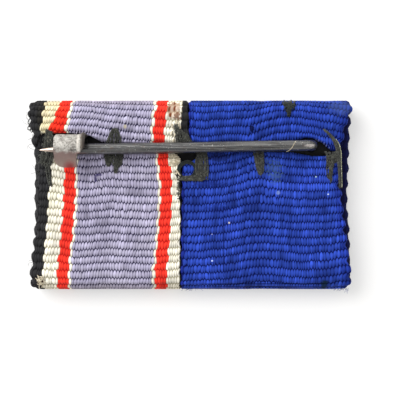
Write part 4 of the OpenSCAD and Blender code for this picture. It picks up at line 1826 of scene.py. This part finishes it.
class Sewing:
    """The thread that closes the seam, and the loose fibres at its ends."""

    # Highest that thread may stand where the pin sweeps over it
    LOW = 3.13
    # Where the pin sweeps: below this Y and left of this X
    SWEPT_Y = 5.0
    SWEPT_X = 11.0
    # Height at which yarns leave a cut hem
    HEM_TOP = 2.97
    PLY = Twist(0.05, 0.11, plies=2, offset=0.034, turn=0.42, fuzz=0.01)

    def __init__(self, shape: BarShape, tree: ThreadTree, seed: int = 11) -> None:
        """Keeps the bar's shape, the thread tree and a fixed random stream."""
        self.shape = shape
        self.tree = tree
        self.random = np.random.default_rng(seed)

    def laid(self, flat: np.ndarray, rise: np.ndarray | float) -> np.ndarray:
        """Lays a flat path on the cloth.

        Args:
            flat: X and Y of each point.
            rise: Height over the cloth.

        Returns:
            The path's points in millimetres.
        """
        level = np.array([self.shape.top(x, y) for x, y in flat]) + rise
        swept = (flat[:, 1] < self.SWEPT_Y) & (flat[:, 0] < self.SWEPT_X)
        return np.column_stack([flat, np.where(swept, np.minimum(level, self.LOW), level)])

    def strands(self, fan: Fan) -> list[np.ndarray]:
        """Lays the strands of one fan, which dive into the cloth at both ends.

        Args:
            fan: The fan.

        Returns:
            One path for each strand.
        """
        found = []
        for layer in range(fan.layers):
            for k in range(fan.strands):
                place = (k + 0.5 + 0.5 * (layer % 2)) / fan.strands
                share = float(np.clip(place + self.random.normal(0, 0.06), 0, 1))
                other = float(np.clip(share + self.random.normal(0, 0.14), 0, 1))
                a, b = fan.start(share), fan.end(other)
                away = (b - a) / max(np.linalg.norm(b - a), 1e-6)
                a = a - away * abs(self.random.normal(0, 0.09))
                b = b + away * self.random.normal(0, 0.10)
                bow = self.random.normal(0, 0.06, 2)
                steps = np.linspace(0, 1, 12)
                flat = a + (b - a) * steps[:, None] + bow * np.sin(math.pi * steps)[:, None]
                height = 0.05 + 0.05 * layer + self.random.uniform(-0.02, 0.03)
                sink = -0.22 * (np.clip(1 - steps / 0.1, 0, 1) + np.clip((steps - 0.9) / 0.1, 0, 1))
                found.append(self.laid(flat, height * np.sin(math.pi * steps) ** 0.6 + sink))
        return found

    def fuzz(self, fan: Fan) -> list[np.ndarray]:
        """Lays short broken fibres on a fan.

        Args:
            fan: The fan.

        Returns:
            One path for each fibre.
        """
        found = []
        for _ in range(fan.hairs):
            share, along = self.random.uniform(0.05, 0.95), self.random.uniform(-0.05, 0.85)
            a, b = fan.start(share), fan.end(share)
            turn = math.atan2(*(b - a)[::-1]) + self.random.normal(0, 0.5)
            start, curl = a + (b - a) * along, self.random.normal(0, 1.2)
            flat = curled(start, turn, curl, self.random.uniform(0.14, 0.34), 7)
            rise = 0.12 + 0.03 * self.random.uniform(0, 1) + 0.03 * np.sin(math.pi * np.linspace(0, 1, 7))
            found.append(self.laid(flat, rise))
        return found

    def ring(self, centre: tuple[float, float], reach: tuple[float, float]) -> list[np.ndarray]:
        """Dark thread that closes round a patch of cloth.

        Args:
            centre: Middle of the patch.
            reach: Half its length and half its width.

        Returns:
            One closed path for each turn of the thread.
        """
        found = []
        for turn in range(6):
            angle = np.linspace(0, 2 * math.pi, 30) + 1.3 * turn
            grown = 1.08 + 0.075 * turn + 0.05 * np.sin(2 * angle + turn) + self.random.normal(0, 0.012, 30)
            flat = np.column_stack([
                centre[0] + reach[0] * grown * np.cos(angle), centre[1] + reach[1] * grown * np.sin(angle)])
            found.append(self.laid(flat, 0.02 - 0.02 * (turn % 2)))
        return found

    def corner_hairs(self) -> list[np.ndarray]:
        """Draws pale hairs under the two lower corners of the blue ribbon.

        Returns:
            One path for each hair.
        """
        found = []
        for _ in range(44):
            first = self.random.uniform() < 0.5
            x = self.random.uniform(-0.9, 0.9) if first else self.random.uniform(14.0, 15.4)
            flat = curled(
                np.array((x, -9.0)), self.random.uniform(3.6, 5.8), self.random.normal(0, 2.0),
                self.random.uniform(0.15, 0.5), 8)
            level = 1.5 + self.random.uniform(-0.8, 0.6)
            found.append(np.column_stack([flat, np.full(len(flat), level)]))
        return found

    @staticmethod
    def dive(steps: np.ndarray, first: float, last: float) -> np.ndarray:
        """Depth that both ends of a long thread have in the cloth, at shares of its length."""
        return first * np.clip(1 - steps / 0.06, 0, 1) + last * np.clip((steps - 0.95) / 0.05, 0, 1)

    def edge_thread(self) -> list[np.ndarray]:
        """Lays the dark strands that curve down the right edge.

        Returns:
            One path for each strand.
        """
        middle = smoothed(EDGE_THREAD, 26)
        steps = np.linspace(0, 1, len(middle))
        width = np.interp(steps, [0, 0.2, 0.4, 0.6, 0.72, 1.0], [0.04, 0.10, 0.17, 0.17, 0.08, 0.05])
        along = np.gradient(middle, axis=0)
        aside = np.column_stack([along[:, 1], -along[:, 0]]) / np.linalg.norm(along, axis=1)[:, None]
        found = []
        for share in np.linspace(-1, 0.75, 7):
            flat = middle - aside * (width * share)[:, None] + self.random.normal(0, 0.012, 2)
            found.append(self.laid(flat, 0.06 + 0.07 * (1 - share ** 2) - self.dive(steps, 0.25, 0.2)))
        return found

    def pale_edge(self) -> list[np.ndarray]:
        """The only path of the pale strand beside the thread at the right edge."""
        middle = smoothed(tuple((x + 0.27 - 0.015 * k, y) for k, (x, y) in enumerate(EDGE_THREAD[2:])), 24)
        return [self.laid(middle, 0.15 - self.dive(np.linspace(0, 1, len(middle)), 0.2, 0.2))]

    def hem_yarns(self, first: float, last: float, pitch: float, reach: float) -> list[np.ndarray]:
        """Draws yarn ends that stand out from the upper hem.

        Args:
            first: X of the first yarn.
            last: X of the last one.
            pitch: Distance between two of them.
            reach: How far each stands out.

        Returns:
            One short path for each yarn.
        """
        found = []
        steps = np.linspace(0, 1, 6)
        for x in np.arange(first, last, pitch):
            y = float(self.shape.seam(np.array(x), True))
            size = reach * self.random.uniform(0.6, 1.3)
            lean = self.random.normal(0, 0.05)
            flat = np.column_stack([x + lean * steps, y + 0.12 - size * steps])
            found.append(np.column_stack([flat, self.HEM_TOP + (-0.03 - 0.25 * steps ** 2)]))
        return found

    def tuft(self) -> list[np.ndarray]:
        """Lays the frayed cream yarns at the lower left corner.

        Returns:
            One path for each yarn.
        """
        found = []
        for _ in range(34):
            start = np.array((self.random.uniform(-14.5, -13.95), self.random.uniform(-8.7, -7.8)))
            flat = curled(
                start, self.random.uniform(2.2, 5.6), self.random.normal(0, 1.2),
                self.random.uniform(0.2, 0.5), 9)
            rise = 0.02 + self.random.uniform(0, 0.1) * np.sin(math.pi * np.linspace(0, 1, 9))
            found.append(self.laid(flat, rise))
        return found

    def folded_yarns(self) -> list[np.ndarray]:
        """Lays the white yarns that turn back at the end of the lower hem, and two across the hole.

        Returns:
            One path for each yarn.
        """
        found = []
        steps = np.linspace(0, 1, 9)
        for k in range(9):
            bulge = 1 - ((k - 3.6) / 5.2) ** 2
            right = -1.42 + 0.42 * bulge + self.random.normal(0, 0.03)
            y = 3.78 - 0.13 * k + 0.05 * np.sin(2.2 * steps + k) - 0.05 * steps ** 3
            flat = np.column_stack([-2.05 + (right + 2.05) * steps, y])
            found.append(self.laid(flat, 0.05 + 0.03 * (k % 2) - 0.16 * steps ** 6 - 0.1 * (1 - steps) ** 4))
        for yarn in CROSSING_YARNS:
            path = np.array(yarn)
            found.append(self.laid(path[:, :2], path[:, 2]))
        return found

    def puffed_yarns(self) -> list[np.ndarray]:
        """Lays short white floats that stand up beside the stitch and beside the knot.

        Returns:
            One path for each float.
        """
        steps = np.linspace(-0.5, 0.5, 6)
        flats = (np.column_stack([x + 0.05 * steps, y + size * steps]) for x, y, size in PUFFS)
        return [self.laid(flat, 0.10 - 0.3 * steps ** 2) for flat in flats]

    def left_hairs(self) -> list[np.ndarray]:
        """Draws fine dark hairs and small loops that stand off the left selvage.

        Returns:
            One path for each hair.
        """
        found = []
        for _ in range(46):
            y = float(self.random.choice(HAIRY_PLACES)) + self.random.normal(0, 0.5)
            x = float(self.shape.edge(np.array(y), np.array(1.0), True)) + 0.05
            flat = curled(
                np.array((x, y)), self.random.uniform(2.2, 4.1), self.random.normal(0, 3.0),
                self.random.uniform(0.3, 1.0), 10)
            z = 2.2 + self.random.uniform(-0.6, 0.5) + np.linspace(0, self.random.normal(0, 0.3), 10)
            found.append(np.column_stack([flat, z]))
        return found

    def knot(self) -> list[np.ndarray]:
        """Draws loops of the selvage thread at the upper left.

        Returns:
            One path for each loop.
        """
        found = []
        for x, y, size in KNOT_LOOPS:
            turn = np.linspace(0, 1.8 * math.pi, 16) + self.random.uniform(0, 6)
            wide = size * (1 + 0.2 * np.sin(2 * turn))
            flat = np.column_stack([x + wide * np.cos(turn), y + wide * np.sin(turn)])
            found.append(np.column_stack([flat, 2.2 + 0.25 * np.sin(turn + 1)]))
        return found

    @staticmethod
    def pin_fibre(pin: Pin) -> list[np.ndarray]:
        """Lays the pale fibre on the pin.

        Args:
            pin: The pin.

        Returns:
            Its only path.
        """
        flat = smoothed(PIN_FIBRE, 16)
        axis = pin.leg_y - (pin.leg_x - flat[:, 0]) * math.tan(math.radians(pin.angle))
        off = np.clip(flat[:, 1] - axis, -pin.radius, pin.radius)
        return [np.column_stack([flat, pin.height + np.sqrt(pin.radius ** 2 - off ** 2) + 0.02])]

    def build(self) -> list[bpy.types.Object]:
        """Makes every stitch and loose fibre and lets them ride on the bar.

        Returns:
            The pieces, each of one finish.
        """
        finishes = {yarn: yarn.value.material() for yarn in Yarn}
        stitches = [path for fan in STITCHES for path in self.strands(fan)]
        fibres = [path for fan in STITCHES for path in self.fuzz(fan)]
        at_folds = [path for fan in FOLD_STITCHES for path in self.strands(fan) + self.fuzz(fan)[::2]]
        at_folds += self.ring((-0.33, 2.34), (0.66, 0.60))
        pieces = (
            ("seam_stitches", stitches + self.edge_thread(), Yarn.SEWING, self.PLY),
            ("dark_stitches", at_folds, Yarn.DARK, self.PLY),
            ("stitch_fuzz", fibres, Yarn.BROKEN, Twist(0.02, 0.09, sides=3)),
            ("pale_edge_thread", self.pale_edge(), Yarn.PALE, replace(self.PLY, radius=0.026, offset=0.02)),
            ("selvage_hairs", self.left_hairs(), Yarn.SEWING, Twist(0.012, 0.1, sides=3)),
            ("selvage_knot", self.knot(), Yarn.SEWING, replace(self.PLY, radius=0.035, offset=0.025)),
            ("corner_hairs", self.corner_hairs(), Yarn.BLUE, Twist(0.013, 0.08, sides=3)),
            ("cream_tuft", self.tuft(), Yarn.CREAM, Twist(0.045, 0.09)),
            ("white_yarns", self.folded_yarns() + self.puffed_yarns(), Yarn.CREAM, Twist(0.07, 0.07, sides=7)),
            ("striped_hem_yarns", self.hem_yarns(-11.1, -7.7, 0.262, 0.26), Yarn.LILAC, Twist(0.06, 0.06)),
            ("blue_hem_yarns", self.hem_yarns(12.0, 13.4, 0.25, 0.16), Yarn.BLUE, Twist(0.055, 0.06)),
        )
        made = []
        for name, paths, yarn, twist in pieces:
            piece = self.tree.grow(name, paths, finishes[yarn], twist)
            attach(piece, "bar")
            made.append(piece)
        fibre = self.tree.grow("pin_fibre", self.pin_fibre(Pin()), finishes[Yarn.CREAM], Twist(0.028, 0.08))
        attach(fibre, "pin")
        return made + [fibre]


# Studio


@dataclass(frozen=True)
class Studio:
    """Pale floor, soft light from the upper left and a camera straight above."""

    camera_height: float = 103.0
    camera_x: float = 0.9
    camera_y: float = -0.5
    view_width: float = 38.16
    cloth_height: float = 3.0
    floor_size: float = 1.6
    floor_dark: Colour = (0.47, 0.468, 0.464)
    floor_light: Colour = (0.50, 0.498, 0.494)
    floor_glow: Colour = (1.0, 0.998, 0.992)
    glow_strength: float = 0.425
    sky_strength: float = 1.03
    key_place: Point = (-0.20, 0.16, 0.24)
    key_size: float = 0.26
    key_power: float = 1.35

    def build(self) -> None:
        """Makes the floor, the lights, the world and the camera."""
        bpy.context.scene.view_settings.view_transform = "Standard"
        self.floor()
        self.sky()
        self.lamp("key", self.key_place, self.key_size, self.key_power)
        self.camera()

    def floor(self) -> None:
        """Lays down the pale paper."""
        half = self.floor_size / 2
        corners = [(-half, -half, 0), (half, -half, 0), (half, half, 0), (-half, half, 0)]
        mesh = bpy.data.meshes.new("floor")
        mesh.from_pydata(corners, [], [(0, 1, 2, 3)])
        floor = new_object("floor", mesh)
        paper, board, shader = new_material("paper")
        tone = board.noise(board.place(), 30.0, 2.0)
        board.feed(shader, {
            "Base Color": board.mix(tone, self.floor_dark, self.floor_light),
            "Emission Color": self.floor_glow,
            "Emission Strength": self.glow_strength,
            "Roughness": 0.9,
            "Specular IOR Level": 0.1,
        })
        mesh.materials.append(paper)

    def camera(self) -> None:
        """Puts the camera straight above the bar and sets how wide it sees."""
        data = bpy.data.cameras.new("camera")
        data.sensor_width = 36.0
        data.lens = data.sensor_width * (self.camera_height - self.cloth_height) / self.view_width
        data.clip_start = 0.01
        data.clip_end = 10.0
        camera = bpy.data.objects.new("camera", data)
        camera.location = (self.camera_x * MM, self.camera_y * MM, self.camera_height * MM)
        bpy.context.scene.collection.objects.link(camera)
        bpy.context.scene.camera = camera

    def sky(self) -> None:
        """Lights the scene from all round: bright low down at the back, darker high up."""
        world = bpy.data.worlds.new("studio")
        world.use_nodes = True
        bpy.context.scene.world = world
        board = Board(world.node_tree)
        right, back, up = board.split(board.wire("ShaderNodeTexCoord", out="Generated"))
        low = up.ramp(0.10, 0.62, 1.3, 0.72)
        high = up.ramp(0.85, 0.99, 0.0, 0.25)
        level = (low + high) * (back - right * 0.9).ramp(-0.9, 0.9, 0.74, 1.24)
        board.feed(world.node_tree.nodes["Background"], {
            "Color": board.scaled(board.join(1.0, 0.995, 0.985), level), "Strength": self.sky_strength})

    @staticmethod
    def lamp(name: str, place: Point, size: float, power: float) -> None:
        """Adds a square soft light that faces the bar.

        Args:
            name: Name of the light.
            place: Where it stands, in metres.
            size: Length of its side, in metres.
            power: Its power in watts.
        """
        data = bpy.data.lights.new(name, "AREA")
        data.size = size
        data.energy = power
        light = bpy.data.objects.new(name, data)
        light.location = place
        away = np.array(place)
        pitch = math.acos(away[2] / np.linalg.norm(away))
        light.rotation_euler = (pitch, 0.0, math.atan2(away[1], away[0]) + math.pi / 2)
        bpy.context.scene.collection.objects.link(light)


def main() -> None:
    """Builds the whole bar and its studio in order."""
    logging.basicConfig(level=logging.INFO, format="%(name)s: %(message)s")
    shape = BarShape()
    effects = Effects()
    Studio().build()
    made = [striped_ribbon(shape).build(effects), blue_ribbon(shape).build(effects)]
    made += Metalwork().build(effects)
    made += Sewing(shape, ThreadTree()).build()
    for piece in made:
        LOG.info("%s: %d faces", piece.name, len(piece.data.polygons))


if __name__ == "__main__":
    main()
